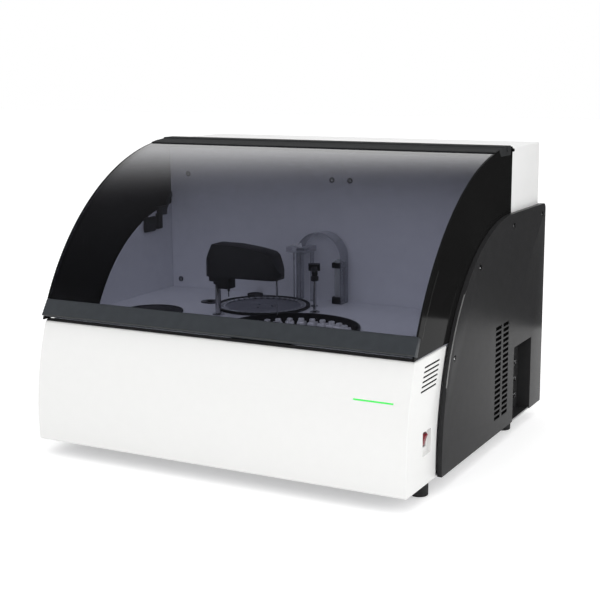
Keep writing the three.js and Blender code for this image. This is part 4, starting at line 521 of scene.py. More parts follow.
def turned(path: Path, x: float, y: float, closed: bool = False, steps: int = 72) -> Mesh:
    """Turns a profile of [radius, height] points about an upright axis.

    Args:
        path: The profile. An open one starts and ends on the axis.
        x: The axis's X.
        y: The axis's Y.
        closed: True for a ring, whose profile closes on itself.
        steps: Number of facets round the axis.

    Returns:
        A closed bmesh.
    """
    bm = chain(path, closed)
    bmesh.ops.transform(bm, matrix=Along.Y.value, verts=bm.verts[:])
    bmesh.ops.spin(
        bm, geom=bm.verts[:] + bm.edges[:], cent=(0, 0, 0), axis=(0, 0, 1), dvec=(0, 0, 0),
        angle=math.tau, steps=steps, use_merge=True, use_duplicate=False,
    )
    bmesh.ops.remove_doubles(bm, verts=bm.verts[:], dist=WELD)
    bmesh.ops.translate(bm, vec=(x, y, 0), verts=bm.verts[:])
    bmesh.ops.recalc_face_normals(bm, faces=bm.faces[:])
    return bm


def block(x: Span, y: Span, z: Span, round_off: float = 0, segments: int = 3) -> Mesh:
    """A box from its spans, with edges rounded off by a radius in some segments.

    Args:
        x: Its span along X.
        y: Its span along Y.
        z: Its span along Z.
        round_off: Radius of its edges.
        segments: Facets of the rounding.

    Returns:
        A closed bmesh.
    """
    bm = bmesh.new()
    size = Matrix.Diagonal((x[1] - x[0], y[1] - y[0], z[1] - z[0], 1))
    middle = Matrix.Translation(((x[0] + x[1]) / 2, (y[0] + y[1]) / 2, (z[0] + z[1]) / 2))
    bmesh.ops.create_cube(bm, size=1, matrix=middle @ size)
    if round_off:
        soften(bm, round_off, segments)
    return bm


def rod(centre: Sequence[float], radius: float, length: float, axis: Sequence[float],
        sides: int = 32, tip: float | None = None) -> Mesh:
    """A round bar from a point along an axis.

    Args:
        centre: Centre of its first end.
        radius: Its radius.
        length: Its length.
        axis: Its direction.
        sides: Number of facets.
        tip: Radius of its far end, where that differs.

    Returns:
        A closed bmesh.
    """
    bm = bmesh.new()
    middle = Vector(centre) + Vector(axis).normalized() * (length / 2)
    bmesh.ops.create_cone(
        bm, cap_ends=True, cap_tris=False, segments=sides, radius1=radius,
        radius2=radius if tip is None else tip, depth=length,
        matrix=Matrix.Translation(middle) @ facing(axis),
    )
    return bm


def soften(bm: Mesh, radius: float, segments: int = 3, limit: float = SHARP) -> None:
    """Rounds every sharp edge.

    Args:
        bm: The solid.
        radius: Radius of the rounding.
        segments: Its facets.
        limit: Edges that turn less than this, in radians, stay.
    """
    sharp = [e for e in bm.edges if e.is_manifold and e.calc_face_angle(0) > limit]
    bmesh.ops.bevel(
        bm, geom=sharp, offset=radius, offset_type="OFFSET", segments=segments, profile=0.5,
        affect="EDGES", clamp_overlap=True, material=-1,
    )


def loose(bm: Mesh, name: str) -> bpy.types.Object:
    """Makes a solid an object of the scene, and frees it.

    Args:
        bm: The solid.
        name: The object's name.

    Returns:
        The object.
    """
    mesh = bpy.data.meshes.new(name)
    bm.to_mesh(mesh)
    bm.free()
    thing = bpy.data.objects.new(name, mesh)
    bpy.context.scene.collection.objects.link(thing)
    return thing


def copies(part: Mesh, places: Sequence[Matrix]) -> Mesh:
    """Repeats a solid at several places and frees it.

    Args:
        part: The solid.
        places: One matrix for each copy.

    Returns:
        One bmesh with all the copies.
    """
    repeats = [part.copy() for _ in places]
    part.free()
    for repeat, place in zip(repeats, places):
        bmesh.ops.transform(repeat, matrix=place, verts=repeat.verts[:])
    return join(repeats)


def join(parts: Iterable[Mesh]) -> Mesh:
    """Puts several solids in one bmesh and frees them.

    Args:
        parts: The solids.

    Returns:
        One bmesh.
    """
    whole = bmesh.new()
    for part in parts:
        mesh = bpy.data.meshes.new("part")
        part.to_mesh(mesh)
        part.free()
        whole.from_mesh(mesh)
        bpy.data.meshes.remove(mesh)
    return whole


def combined(base: Mesh, other: Mesh, how: str) -> Mesh:
    """Cuts one solid from another, or joins the two.

    Args:
        base: The solid that stays.
        other: The solid that is cut away or added.
        how: DIFFERENCE, INTERSECT or UNION.

    Returns:
        The result, with both solids freed.
    """
    thing = loose(base, "base")
    tool = loose(other, "tool")
    step = thing.modifiers.new("combine", "BOOLEAN")
    step.operation = how
    step.solver = "EXACT"
    step.use_self = True
    step.object = tool
    bpy.context.view_layer.update()
    shown = thing.evaluated_get(bpy.context.evaluated_depsgraph_get())
    bm = bmesh.new()
    bm.from_mesh(shown.to_mesh())
    shown.to_mesh_clear()
    for used in (thing, tool):
        mesh = used.data
        bpy.data.objects.remove(used)
        bpy.data.meshes.remove(mesh)
    bmesh.ops.remove_doubles(bm, verts=bm.verts[:], dist=WELD)
    return bm


def carved(base: Mesh, cutters: Iterable[Mesh]) -> Mesh:
    """Cuts several solids from one."""
    return combined(base, join(cutters), "DIFFERENCE")


@dataclass(frozen=True)
class Piece:
    """How a finished piece is named, dressed and carried.

    Args:
        name: The piece's name.
        finish: Its finish.
        body: The body that carries it.
        node: The CAD node that it replaces, if any.
        edge: Radius of a last soft edge, in millimetres.
    """

    name: str
    finish: Finish
    body: str = "chassis"
    node: str = ""
    edge: float = 0.0

    def make(self, *parts: Mesh) -> None:
        """Turns solids in millimetres into the finished piece, and frees them.

        Args:
            parts: The solids.
        """
        bm = join(parts) if len(parts) > 1 else parts[0]
        bmesh.ops.scale(bm, vec=(MM, MM, MM), verts=bm.verts[:])
        bmesh.ops.dissolve_degenerate(bm, dist=SPECK, edges=bm.edges[:])
        for face in bm.faces:
            face.smooth = True
        for edge in bm.edges:
            edge.smooth = not (edge.is_manifold and edge.calc_face_angle(0) > SHARP)
        thing = loose(bm, self.name)
        thing.data.materials.append(self.finish.material())
        if self.edge:
            soft = thing.modifiers.new("edge", "BEVEL")
            soft.width = self.edge * MM
            soft.segments = 2
            soft.limit_method = "ANGLE"
            soft.angle_limit = SHARP
            soft.harden_normals = True
        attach(thing, self.body)
        if self.node:
            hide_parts(self.node)
        LOG.info("made %s on %s", self.name, self.body)

    def turn(self, path: Path, x: float, y: float, steps: int = 72, closed: bool = False) -> None:
        """Makes the piece from a profile that is turned about an upright axis."""
        self.make(turned(path, x, y, closed, steps))

    def draw(self, path: Path, span: Span, along: Along = Along.X) -> None:
        """Makes the piece from an outline that is drawn out along an axis."""
        self.make(prism(path, span, along))


def dress(node: str, finish: Finish) -> None:
    """Gives a CAD node a finish.

    Args:
        node: The node's name.
        finish: Its finish.
    """
    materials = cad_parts[node].data.materials
    materials.clear()
    materials.append(finish.material())
    LOG.info("dressed %s", node)


def refined(node: str, finish: Finish, edge: float = 0.5, body: str = "chassis") -> None:
    """Replaces a CAD node by its own shape with softened edges.

    Args:
        node: The node's name.
        finish: Its finish.
        edge: Radius of the softened edges, in millimetres.
        body: The body that carries it.
    """
    bm = bmesh.new()
    bm.from_mesh(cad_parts[node].data)
    bmesh.ops.scale(bm, vec=(1 / MM, 1 / MM, 1 / MM), verts=bm.verts[:])
    bmesh.ops.remove_doubles(bm, verts=bm.verts[:], dist=WELD)
    bmesh.ops.dissolve_limit(bm, angle_limit=FLAT, verts=bm.verts[:], edges=bm.edges[:])
    Piece(f"{node}_fine", finish, body, node, edge).make(bm)


def screws(name: str, radius: float, rise: float, places: Sequence[Place],
           axis: Sequence[float], body: str = "chassis", finish: Finish = SCREW_BLACK) -> None:
    """Sets pan head screws with a cross recess on a face.

    Args:
        name: The piece's name.
        radius: The heads' radius.
        rise: The heads' height.
        places: Where each head's base is.
        axis: The direction that the heads face.
        body: The body that carries them.
        finish: Their finish.
    """
    dome = turned([
        (0, 0), (radius, 0), (radius, rise * 0.35), (radius * 0.86, rise * 0.8),
        (radius * 0.5, rise), (0, rise),
    ], 0, 0, steps=20)
    long, thin, deep = between(0, radius * 1.24), between(0, radius * 0.32), (rise * 0.35, rise * 2)
    head = carved(dome, [block(long, thin, deep), block(thin, long, deep)])
    Piece(name, finish, body).make(copies(head, [
        Matrix.Translation(place) @ facing(axis) @ Matrix.Rotation(0.5 * i, 4, "Z")
        for i, place in enumerate(places)
    ]))


# Sub-assemblies

# The curves of the cover, the lid and the panels' front edges, seen from the side.
COVER = Curve(173, 82, 558)
LID = Curve(154.15, 87.7, 546)
PANEL_UPPER = Curve(154.8, 112, 381)
PANEL_LOWER = Curve(300.2, 57.2, 536.8)
# The outer face of the rear panel.
REAR_Y = 385
# How far a cutter reaches past the face that it cuts.
PAST = 9


@dataclass
class FrontShell:
    """The white front cover with its vents, light bar and power switch."""

    half_width: float = 420
    wall: float = 4
    foot_z: float = 31
    top_z: float = 280
    flange: float = 13
    seam: float = 5
    edge: float = 3.5
    vent_rows: int = 6
    vent_length: float = 75
    vent_slot: float = 3.6
    vent_depth: float = 1
    vent_pitch: float = 8.6
    vent_slant: float = 3.5
    vent_top_z: float = 260
    vent_front_y: float = -304
    pocket: tuple[float, float, float, float] = (-289.5, 41, 114.5, 47)
    pocket_floor_x: float = 411
    pocket_wall: float = 1.5
    throat: tuple[float, float, float] = (22.6, 120, 33.2)
    light: tuple[float, float, float, float] = (307, 80, 204, 2.5)
    rocker_y: float = -291.5

    def body(self) -> Mesh:
        """The curved shell, open below and behind.

        Returns:
            A closed bmesh.
        """
        inner = self.half_width - self.wall
        low, top = COVER.angle(self.foot_z), COVER.angle(self.top_z)
        seam = PANEL_LOWER.wider(self.seam)
        seam_top, seam_low = seam.angle(self.top_z), seam.angle(self.foot_z)
        outer = prism([
            COVER.point(low), COVER.sweep(low, top, 64),
            seam.point(seam_top), seam.sweep(seam_top, seam_low, 32),
        ], (-self.half_width, self.half_width), Along.X)
        soften(outer, self.edge, 4)
        roof = self.top_z - self.wall
        under, high = COVER.angle(self.foot_z - 10), COVER.angle(roof, -self.wall)
        hollow = prism([
            COVER.point(under, -self.wall), COVER.sweep(under, high, 64),
            (PANEL_LOWER.y, roof), (PANEL_LOWER.y, self.foot_z - 10),
        ], (-inner, inner), Along.X)
        lip = COVER.point(top)[0] + self.flange
        mouth = block((-inner, inner), (lip, PANEL_LOWER.y), (roof - 5, self.top_z + 5))
        return carved(outer, [hollow, mouth])

    def slots(self, across: Span, grow: float, *edges: float) -> list[Mesh]:
        """Blocks in the slanted vents of the right cheek.

        Args:
            across: Their span along X.
            grow: How far they are larger than the vents.
            edges: The radius and the facets of their edges.

        Returns:
            One solid for each vent.
        """
        slots = []
        for row in range(self.vent_rows):
            front = self.vent_front_y - row * self.vent_slant
            middle = self.vent_top_z - row * self.vent_pitch
            along = (front - grow, front + self.vent_length + grow)
            slots.append(block(across, along, between(middle, self.vent_slot + 2 * grow), *edges))
        return slots

    def build(self) -> None:
        """Makes the cover, the pocket, the light bar and the switch."""
        x, length, z, height = self.light
        low, high = (COVER.angle(z + side * (height / 2 + 0.3)) for side in (-1, 1))
        light_slot = prism([
            COVER.point(low, 9), COVER.point(high, 9), COVER.point(high, -15),
            COVER.point(low, -15),
        ], (x - 0.3, x + length + 0.3), Along.X)
        past, deep = self.half_width + PAST, self.half_width - PAST
        hole = self.pocket_block((self.pocket_floor_x - 5, past), 0, 2.4)
        shell = carved(self.body(), [hole, light_slot, *self.slots((deep, past), 0, 1.6, 3)])
        Piece("front_cover_shell", WHITE_COVER, node="front_cover", edge=0.5).make(shell)
        # Dark slats just inside the cheek's vents are painted shade, so that the slots read dark
        # from every side.
        back = self.half_width - self.wall + 0.6
        painted_shade_slats = self.slots((back, self.half_width - self.vent_depth), 0.3)
        Piece("vent_painted_shade", PAINTED_SHADE_BLACK).make(*painted_shade_slats)
        wall = self.pocket_wall
        tray = self.pocket_block((self.pocket_floor_x - wall, self.half_width - 0.6), wall, 2.4)
        inner = self.pocket_block((self.pocket_floor_x, past), -0.1, 2.2)
        width, middle, tall = self.throat
        throat = block(between(self.pocket_floor_x, 2 * PAST), between(self.pocket[0], width),
                       between(middle, tall))
        Piece("switch_pocket_tray", WHITE_COVER, edge=0.3).make(carved(tray, [inner, throat]))
        low, high = COVER.angle(z - height / 2), COVER.angle(z + height / 2)
        Piece("light_guide", GREEN_LIGHT, node="light_bar", edge=0.3).draw([
            COVER.point(low, -0.2), COVER.sweep(low, high, 4), COVER.point(high, -8),
            COVER.point(low, -8),
        ], (x, x + length))
        self.switch()

    def pocket_block(self, across: Span, grow: float, radius: float) -> Mesh:
        """A block in the switch pocket, grown on each side."""
        y, width, z, height = self.pocket
        return block(across, between(y, width + 2 * grow), between(z, height + 2 * grow), radius, 4)

    def switch(self) -> None:
        """Makes the bezel and the rocker."""
        refined("switch_housing", BEZEL_GREY, 0.6)
        face = self.pocket_floor_x + 2
        rocker = prism([
            (face + 3.6, 133.4), (face + 7.4, 128.4), (face + 4.4, 121), (face + 2.2, 113),
            (face + 0.8, 106.6), (face - 2.5, 107.6), (face - 5, 120), (face - 2.5, 132.4),
        ], between(self.rocker_y, 13), Along.Y)
        soften(rocker, 0.9, 3, math.radians(50))
        Piece("rocker_cap", RED_ROCKER, "rocker", "power_rocker").make(rocker)
        Piece("rocker_end_bars", SOFT_BLACK, "rocker").make(
            block((face + 2.8, face + 4.6), between(self.rocker_y, 11), (131.6, 133.2)),
            block((face + 0.5, face + 1.3), between(self.rocker_y, 11), (106.4, 108.2)),
        )


@dataclass
class SidePanels:
    """The dark side panels with their louvres, and the connector recess on the right."""

    face_x: float = 430
    sheet: float = 1.5
    flange: float = 9.6
    bend: float = 3.2
    foot_z: float = 31
    top_z: float = 493
    join_z: float = 262
    corner: float = 14
    louvre_rows: int = 18
    louvre_pitch: float = 11.4
    louvre_slot: float = 7.4
    louvre_low_z: float = 64.3
    louvre_columns: tuple[float, ...] = (61, 108.5)
    louvre_length: float = 35.5
    notch: tuple[float, float, float] = (183.4, 304, 198)
    bead_z: Span = (165, 405)
    bead_steps: int = 48
    recess_x: float = 400
    barb_y: float = 197.4
    barb_heights: tuple[float, ...] = (66, 96, 126, 156)
    socket_y: float = 252
    socket_heights: tuple[float, ...] = (70, 108, 146)
    screw_places: tuple[Point, ...] = (
        (163.8, 467), (-41.3, 408), (363, 470), (-176.8, 251.5),
    )

    def outline(self, inset: float, low_z: float) -> Path:
        """The panel's outline.

        Args:
            inset: How far it lies inside the panel's edge.
            low_z: Its lower edge.

        Returns:
            The outline's points and arcs.
        """
        lower, upper = PANEL_LOWER.wider(-inset), PANEL_UPPER.wider(-inset)
        low, mid = lower.angle(low_z), lower.angle(self.join_z)
        join_angle = upper.angle(self.join_z)
        centre = (REAR_Y - self.corner, self.top_z - self.corner)
        return [
            lower.point(low), lower.sweep(low, mid, 40),
            upper.point(join_angle), upper.sweep(join_angle, 90, 56),
            (centre[0], centre[1] + self.corner - inset), Arc(centre, -90, 12),
            (REAR_Y - inset, low_z),
        ]

    def panel(self, side: int, node: str) -> None:
        """Makes one panel.

        Args:
            side: 1 for the right panel, -1 for the left one.
            node: The CAD node that it stands for.
        """
        inner, past = self.face_x - self.flange, self.face_x + PAST
        shell = prism(self.outline(0, self.foot_z), sided(side, inner, self.face_x), Along.X)
        soften(shell, self.bend, 5)
        under = self.foot_z - PAST
        cutters = [prism(self.outline(self.sheet, under),
                         sided(side, inner - PAST, self.face_x - self.sheet), Along.X)]
        through = sided(side, self.face_x - PAST, past)
        for row in range(self.louvre_rows):
            low = self.louvre_low_z + row * self.louvre_pitch
            cutters += [
                block(through, (front, front + self.louvre_length), (low, low + self.louvre_slot))
                for front in self.louvre_columns
            ]
        out = (side, 0, 0)
        places = [(side * self.face_x, y, z) for y, z in self.screw_places]
        cutters += [rod((x - side * 4, y, z), 6, 9, out) for x, y, z in places]
        if side > 0:
            cutters.append(block((inner - PAST, past), self.notch[:2], (under, self.notch[2])))
        Piece(f"{node}_skin", DARK_PAINT, node=node, edge=0.35).make(carved(shell, cutters))
        # A near-black sheet just behind the louvres is painted shade for the dark inside of the
        # panel.
        front, back = self.louvre_columns[0] - 4, self.louvre_columns[-1] + self.louvre_length + 4
        top = self.louvre_low_z + self.louvre_rows * self.louvre_pitch + 2
        Piece(f"{node}_louvre_painted_shade", PAINTED_SHADE_BLACK).make(block(
            sided(side, self.face_x - 4.4, self.face_x - 3.2), (front, back),
            (self.louvre_low_z - 6, top), 0.3, 1,
        ))
        screws(f"{node}_screws", 3.7, 2.2, [(x - side * 2.3, y, z) for x, y, z in places], out,
               finish=STEEL)
        Piece(f"{node}_screw_seats", SCREW_BLACK).make(*[
            rod((x - side * 3.8, y, z), 6.6, 1.6, out) for x, y, z in places
        ])
        self.painted_highlight_bead(side, node)

    def painted_highlight_bead(self, side: int, node: str) -> None:
        """Makes a painted highlight, a lighter strip on the front bend that sinks in at its ends.

        Args:
            side: 1 for the right panel, -1 for the left one.
            node: The CAD node of the panel.
        """
        low, high = self.bead_z
        outer, inner = [], []
        for step in range(self.bead_steps + 1):
            share = step / self.bead_steps
            z = low + (high - low) * share
            curve = PANEL_LOWER if z < self.join_z else PANEL_UPPER
            angle = curve.angle(z)
            outer.append(curve.point(angle, 0.4 - 1.2 * abs(2 * share - 1) ** 3))
            inner.append(curve.point(angle, -1))
        across = sided(side, self.face_x - 2.2, self.face_x - 0.02)
        Piece(f"{node}_painted_highlight_bead", PAINTED_BEND_HIGHLIGHT).draw(outer + inner[::-1], across)

    def fittings(self) -> None:
        """Makes the hose fittings and the socket plates in the recess."""
        refined("connector_recess", DARK_PAINT, 0.3)
        x, y, out = self.recess_x, self.barb_y, (1, 0, 0)
        barbs, collars, plates, ports = [], [], [], []
        for z in self.barb_heights:
            collars.append(rod((x, y, z), 6.4, 5, out, 6))
            barbs.append(rod((x + 5, y, z), 4.2, 4, out, 24))
            barbs += [rod((x + 9 + i * 3.2, y, z), 3.9, 3.2, out, 24, 2.7) for i in range(3)]
        y = self.socket_y
        for z in self.socket_heights:
            plates.append(block((x, x + 1.6), between(y, 46), between(z, 26), 0.5, 2))
            port = block((x + 1.2, x + 8), between(y, 31), between(z, 12), 0.8, 2)
            ports.append(carved(port, [block((x + 3, x + 10), between(y, 28), between(z, 9))]))
        Piece("fitting_collars", BRASS, edge=0.3).make(*collars)
        Piece("fitting_barbs", BRASS).make(*barbs)
        Piece("socket_plates", SCREW_BLACK, edge=0.2).make(*plates)
        Piece("socket_shells", STEEL, edge=0.2).make(*ports)

    def build(self) -> None:
        """Makes both panels, their screws and the fittings."""
        self.panel(1, "side_panel_right")
        self.panel(-1, "side_panel_left")
        self.fittings()
        dress("side_frame_left", GREY_PAINT)
        dress("side_frame_right", GREY_PAINT)


@dataclass
class RearShell:
    """The white rear housing, the rear panel, the mains inlet and the fan with its guard."""

    half_width: float = 418.7
    front_y: float = 172
    rear_y: float = 362
    low_z: float = 480
    top_z: float = 631
    wall: float = 3
    lip: float = 22
    fan: Point = (-60, 200)
    guard_y: float = 384.1
    guard_radii: tuple[float, ...] = (16, 28, 40, 52)
    spoke_angles: tuple[float, ...] = (45, 135, 225, 315)
    screw_y: float = 383.2
    fan_screw_reach: float = 52.5
    edge_screw_x: float = 405
    edge_screw_heights: tuple[float, ...] = (60, 262, 452)

    def shrunk(self, inset: float, z: Span, *edges: float) -> Mesh:
        """A block inside the housing's plan, with the radius and the facets of its edges."""
        reach = self.half_width - inset
        return block((-reach, reach), (self.front_y + inset, self.rear_y - inset), z, *edges)

    def guard(self) -> None:
        """Makes the wire rings and spokes behind the grille."""
        x, z = self.fan
        hub = Vector((x, self.guard_y, z))
        wires = [
            moved(turned([(radius, -0.8), (radius + 0.8, 0), (radius, 0.8), (radius - 0.8, 0)],
                         0, 0, True, 48), hub, 90)
            for radius in self.guard_radii
        ]
        for degrees in self.spoke_angles:
            angle = math.radians(degrees)
            reach = Vector((math.cos(angle), 0, math.sin(angle)))
            wires.append(rod(hub + reach * 8, 0.8, 50, reach, 12))
        Piece("fan_guard", STEEL).make(*wires)

    def build(self) -> None:
        """Makes the rear of the analyzer."""
        low, top = self.low_z, self.top_z
        outer = self.shrunk(0, (low, top), 3.2, 5)
        hollow = self.shrunk(self.wall, (low + self.wall, top - self.wall))
        mouth = self.shrunk(self.wall + self.lip, between(low, 2 * PAST))
        Piece("rear_housing_shell", WHITE_PAINT, node="rear_housing").make(
            carved(outer, [hollow, mouth]))
        refined("rear_panel", DARK_PAINT, 0.4)
        refined("power_inlet", SOFT_BLACK)
        self.guard()
        refined("fan_housing", SOFT_BLACK, 0.8)
        refined("fan_rotor", SOFT_BLACK, 0.4, "fan")
        (x, z), y, out = self.fan, self.screw_y, (0, 1, 0)
        reach = self.fan_screw_reach
        corners = [(x + i * reach, y, z + k * reach) for i in (-1, 1) for k in (-1, 1)]
        screws("fan_screws", 3.6, 1.5, corners, out)
        reach = self.edge_screw_x
        edges = [(x, y, z) for x in (-reach, reach) for z in self.edge_screw_heights]
        screws("rear_panel_screws", 3.6, 1.5, edges, out)
        refined("base_plate", ZINC_PLATE, 0.6)


@dataclass
class Feet:
    """Four round rubber feet with a grooved tread."""

    places: dict[str, Point] = field(default_factory=lambda: {
        "foot_front_left": (-394, -262), "foot_front_right": (394, -262),
        "foot_rear_left": (-394, 224), "foot_rear_right": (394, 224),
    })

    def build(self) -> None:
        """Turns each foot."""
        for name, (x, y) in self.places.items():
            Piece(f"{name}_rubber", FOOT_RUBBER, node=name).turn([
                (0, 1.2), (8, 1.2), (9, 0), (15.8, 0), Arc((15.8, 2.2), 90, 6), (18, 4.6),
                (17.4, 5), (17.4, 6), (18, 6.4), (18, 29.4), (17.2, 30.2), (0, 30.2),
            ], x, y, 48)


@dataclass
class Lid:
    """The hinged lid: smoked sheet, cheeks, handle bar, top rail and hinges."""

    half_width: float = 420
    sheet: float = 4
    low_z: float = 283.3
    handle: tuple[float, float, float, float] = (290.5, 324.8, 12, 5.7)
    handle_half: float = 421
    rail_front: float = 86
    rail_rear: float = 155.5
    rail_low: float = 616
    lip: float = 25
    rail_top: float = 636
    rail_cap: Point = (131, 630)
    step_y: float = 114
    cheek_rear: float = 168
    heel_z: float = 470
    heel_inset: float = 22
    hinge: Point = (163.5, 626)
    rim_width: float = 21
    rim_top_z: float = 430

    def handle_outline(self, grow: float) -> Path:
        """The handle bar's section, grown by a clearance.

        Args:
            grow: The clearance.

        Returns:
            The outline's points.
        """
        low_z, high_z, thick, proud = self.handle
        extra = math.degrees(grow / LID.r)
        low, high = LID.angle(low_z) - extra, LID.angle(high_z) + extra
        return [
            LID.point(low, proud + grow), LID.point(high, grow), LID.point(high, -thick - grow),
            LID.point(low, -thick - grow),
        ]

    def rail_outline(self, grow: float) -> Path:
        """The top rail's section, grown by a clearance.

        Args:
            grow: The clearance.

        Returns:
            The outline's points.
        """
        front, rear = self.rail_front - grow, self.rail_rear + grow
        low, top = self.rail_low - grow, self.rail_top + grow
        return [
            (front, low + 9), (front + 9, low), (rear, low), (rear, top - 2.5), (rear - 2.5, top),
            (self.step_y - grow, top), (self.step_y - grow, top - 2.5), (front, top - 5),
        ]

    def bars(self) -> None:
        """Makes the smoked sheet, the handle bar and the top rail with its end caps."""
        start = LID.angle(self.handle[1]) + math.degrees(0.3 / LID.r)
        stop = LID.angle_at(self.rail_front - 0.3, -self.sheet)
        Piece("lid_window", SMOKED_CLEAR, "lid", "lid_sheet").draw([
            LID.point(start), LID.sweep(start, stop, 96), LID.point(stop, -self.sheet),
            Arc((LID.y, LID.z), stop - start, 96),
        ], between(0, 2 * self.half_width - 8.6))
        across = between(0, 2 * self.handle_half)
        handle = prism(self.handle_outline(0), across, Along.X)
        soften(handle, 1.6, 4)
        Piece("lid_handle_bar", SATIN_BAR, "lid", "lid_handle").make(handle)
        rail = prism(self.rail_outline(0), across, Along.X)
        soften(rail, 0.9, 3, math.radians(25))
        Piece("lid_top_rail_bar", RAIL_BLACK, "lid", "lid_top_rail").make(rail)
        lip = LID.angle_at(self.rail_front - self.lip)
        rear = LID.angle_at(self.rail_front - 0.4)
        Piece("rail_front_lip", RAIL_BLACK, "lid", edge=0.4).draw([
            LID.point(lip, 0.15), LID.point(lip, 2.2), LID.point(rear, 2.4), LID.point(rear, 0.15),
        ], between(0, 2 * self.half_width - 2))
        caps = []
        for side in (-1, 1):
            cap = rod((side * (self.handle_half - 0.6), *self.rail_cap), 5.6, 3.4, (side, 0, 0), 40)
            soften(cap, 1)
            caps.append(cap)
        Piece("rail_end_caps", RAIL_BLACK, "lid").make(*caps)
        low, high = LID.angle(self.handle[0] + 1.2), LID.angle(self.handle[0] + 2.2)
        Piece("handle_lower_bead", EDGE_LINE, "lid").draw([
            LID.point(low, 5.75), LID.point(high, 5.75), LID.point(high, 5), LID.point(low, 5),
        ], between(0, 2 * self.handle_half - 4))

    def cheek(self, side: int, node: str) -> None:
        """Makes one cheek with its hinge ear, and the fine bead along its rim.

        Args:
            side: 1 for the right cheek, -1 for the left one.
            node: The CAD node that it stands for.
        """
        across = sided(side, self.half_width - self.sheet, self.half_width)
        past = sided(side, self.half_width - PAST, self.half_width + PAST)
        heel = PANEL_UPPER.wider(-self.heel_inset)
        low, high = LID.angle(self.low_z), LID.angle_at(self.rail_front)
        heel_high, heel_low = heel.angle(self.heel_z), heel.angle(self.low_z)
        plate = prism([
            LID.point(low), LID.sweep(low, high, 96), (self.rail_rear, self.rail_low),
            (self.cheek_rear, self.rail_low), (self.cheek_rear, self.heel_z),
            heel.point(heel_high), heel.sweep(heel_high, heel_low, 48),
        ], across, Along.X)
        y, z = self.hinge
        ear = turned([(0, 0), (7.4, 0), (7.4, 4), (0, 4)], 0, 0, steps=32)
        neck = block(across, (y - 4.7, self.cheek_rear), (self.rail_low - 9, z))
        whole = combined(combined(plate, neck, "UNION"), moved(ear, (across[0], y, z), 90, "Y"),
                         "UNION")
        Piece(f"{node}_plate", BLACK_GLOSS, "lid", node, 0.4).make(carved(whole, [
            prism(self.handle_outline(0.3), past, Along.X),
            prism(self.rail_outline(0.3), past, Along.X),
            rod((past[0], y, z), 3.8, past[1] - past[0], (1, 0, 0), 24),
        ]))
        start = LID.angle(self.handle[1] + 1)
        stop = LID.angle(self.rim_top_z, -self.rim_width)
        Piece(f"{node}_rim_bead", EDGE_LINE, "lid").draw([
            LID.point(start, -self.rim_width), LID.sweep(start, stop, 96),
            LID.point(stop, -self.rim_width - 0.6), LID.sweep(stop, start, 96),
        ], sided(side, self.half_width - 0.3, self.half_width + 0.25))

    def build(self) -> None:
        """Makes the lid and its hinges."""
        self.bars()
        self.cheek(1, "lid_cheek_right")
        self.cheek(-1, "lid_cheek_left")
        for node in ("hinge_bracket_left", "hinge_bracket_right"):
            refined(node, STEEL, 0.4)
        Piece("hinge_pin_ends", SCREW_BLACK, edge=0.4).make(*[
            rod((side * (self.half_width - 4), *self.hinge), 3.4, 9, (side, 0, 0), 24)
            for side in (-1, 1)
        ])


@dataclass
class Chamber:
    """The work chamber: deck, walls, seal, sensor, plug and screws."""

    wall_y: float = 122
    screw_places: tuple[Point, ...] = (
        (20, 551), (64, 551), (-359, 551), (-386, 297), (386, 551), (386, 297),
    )
    seal_front: float = -347.9
    plug: Point = (-170, 103)
    port: Point = (-269.4, -168)

    def sensor(self) -> None:
        """Makes the lid sensor on the left wall, with its bracket."""
        across = (-409, -401)
        strut = [(84, 466), (93, 462), (119, 497), (119, 508), (108, 498)]
        Piece("lid_sensor_unit", SOFT_BLACK, node="lid_sensor", edge=0.4).make(
            block(across, (3, 46), (422, 457), 3.4, 4),
            block((-409, -403), (44, 56), (428, 448), 1, 2),
            block(across, (53, 73), (425, 462), 2, 3),
            block(across, (58, 93), (456, 477), 2, 3),
            prism(strut, (-409, -404), Along.X),
        )

    def build(self) -> None:
        """Dresses the deck and the walls and sets their screws."""
        for node in ("deck", "back_wall", "back_wall_upper"):
            refined(node, GREY_PAINT)
        front = self.seal_front
        Piece("lid_seal_strip", FOOT_RUBBER, node="lid_seal", edge=0.2).draw([
            (front, 280), (front + 11, 280), (front + 11, 281.6), (front + 9.4, 284.2),
            (front + 7.6, 284.6), (front + 7, 282.6), (front + 5.4, 282.6), (front + 4.8, 284.6),
            (front + 3, 284.6), (front + 2.2, 282.4), (front, 281.6),
        ], (-416, 416))
        self.sensor()
        places = [(x, self.wall_y, z) for x, z in self.screw_places]
        screws("wall_screws", 4.0, 2.4, places, (0, -1, 0), finish=STEEL)
        ring = [(4.1, 0), (6.2, 0), (6.2, 1), (4.1, 1)]
        Piece("wall_screw_washers", SCREW_BLACK).make(*[
            moved(turned(ring, 0, 0, True, 32), place, 90) for place in places
        ])
        Piece("deck_plug_rubber", FOOT_RUBBER, node="deck_plug").turn([
            (0, 271), (10, 271), (10, 278), (18, 278), (18, 280.6), Arc((16.6, 280.6), 90, 5),
            (12, 282), (11.4, 281), (0, 281),
        ], *self.plug)
        Piece("deck_port_cover", SOFT_BLACK).turn([
            (0, 279.4), (65, 279.4), (65, 281.6), Arc((63.8, 281.6), 90, 5), (61, 282.8),
            (60, 281.6), (14, 281.6), (13, 282.8), (11, 282.8), (10, 281.4), (0, 281.4),
        ], *self.port)


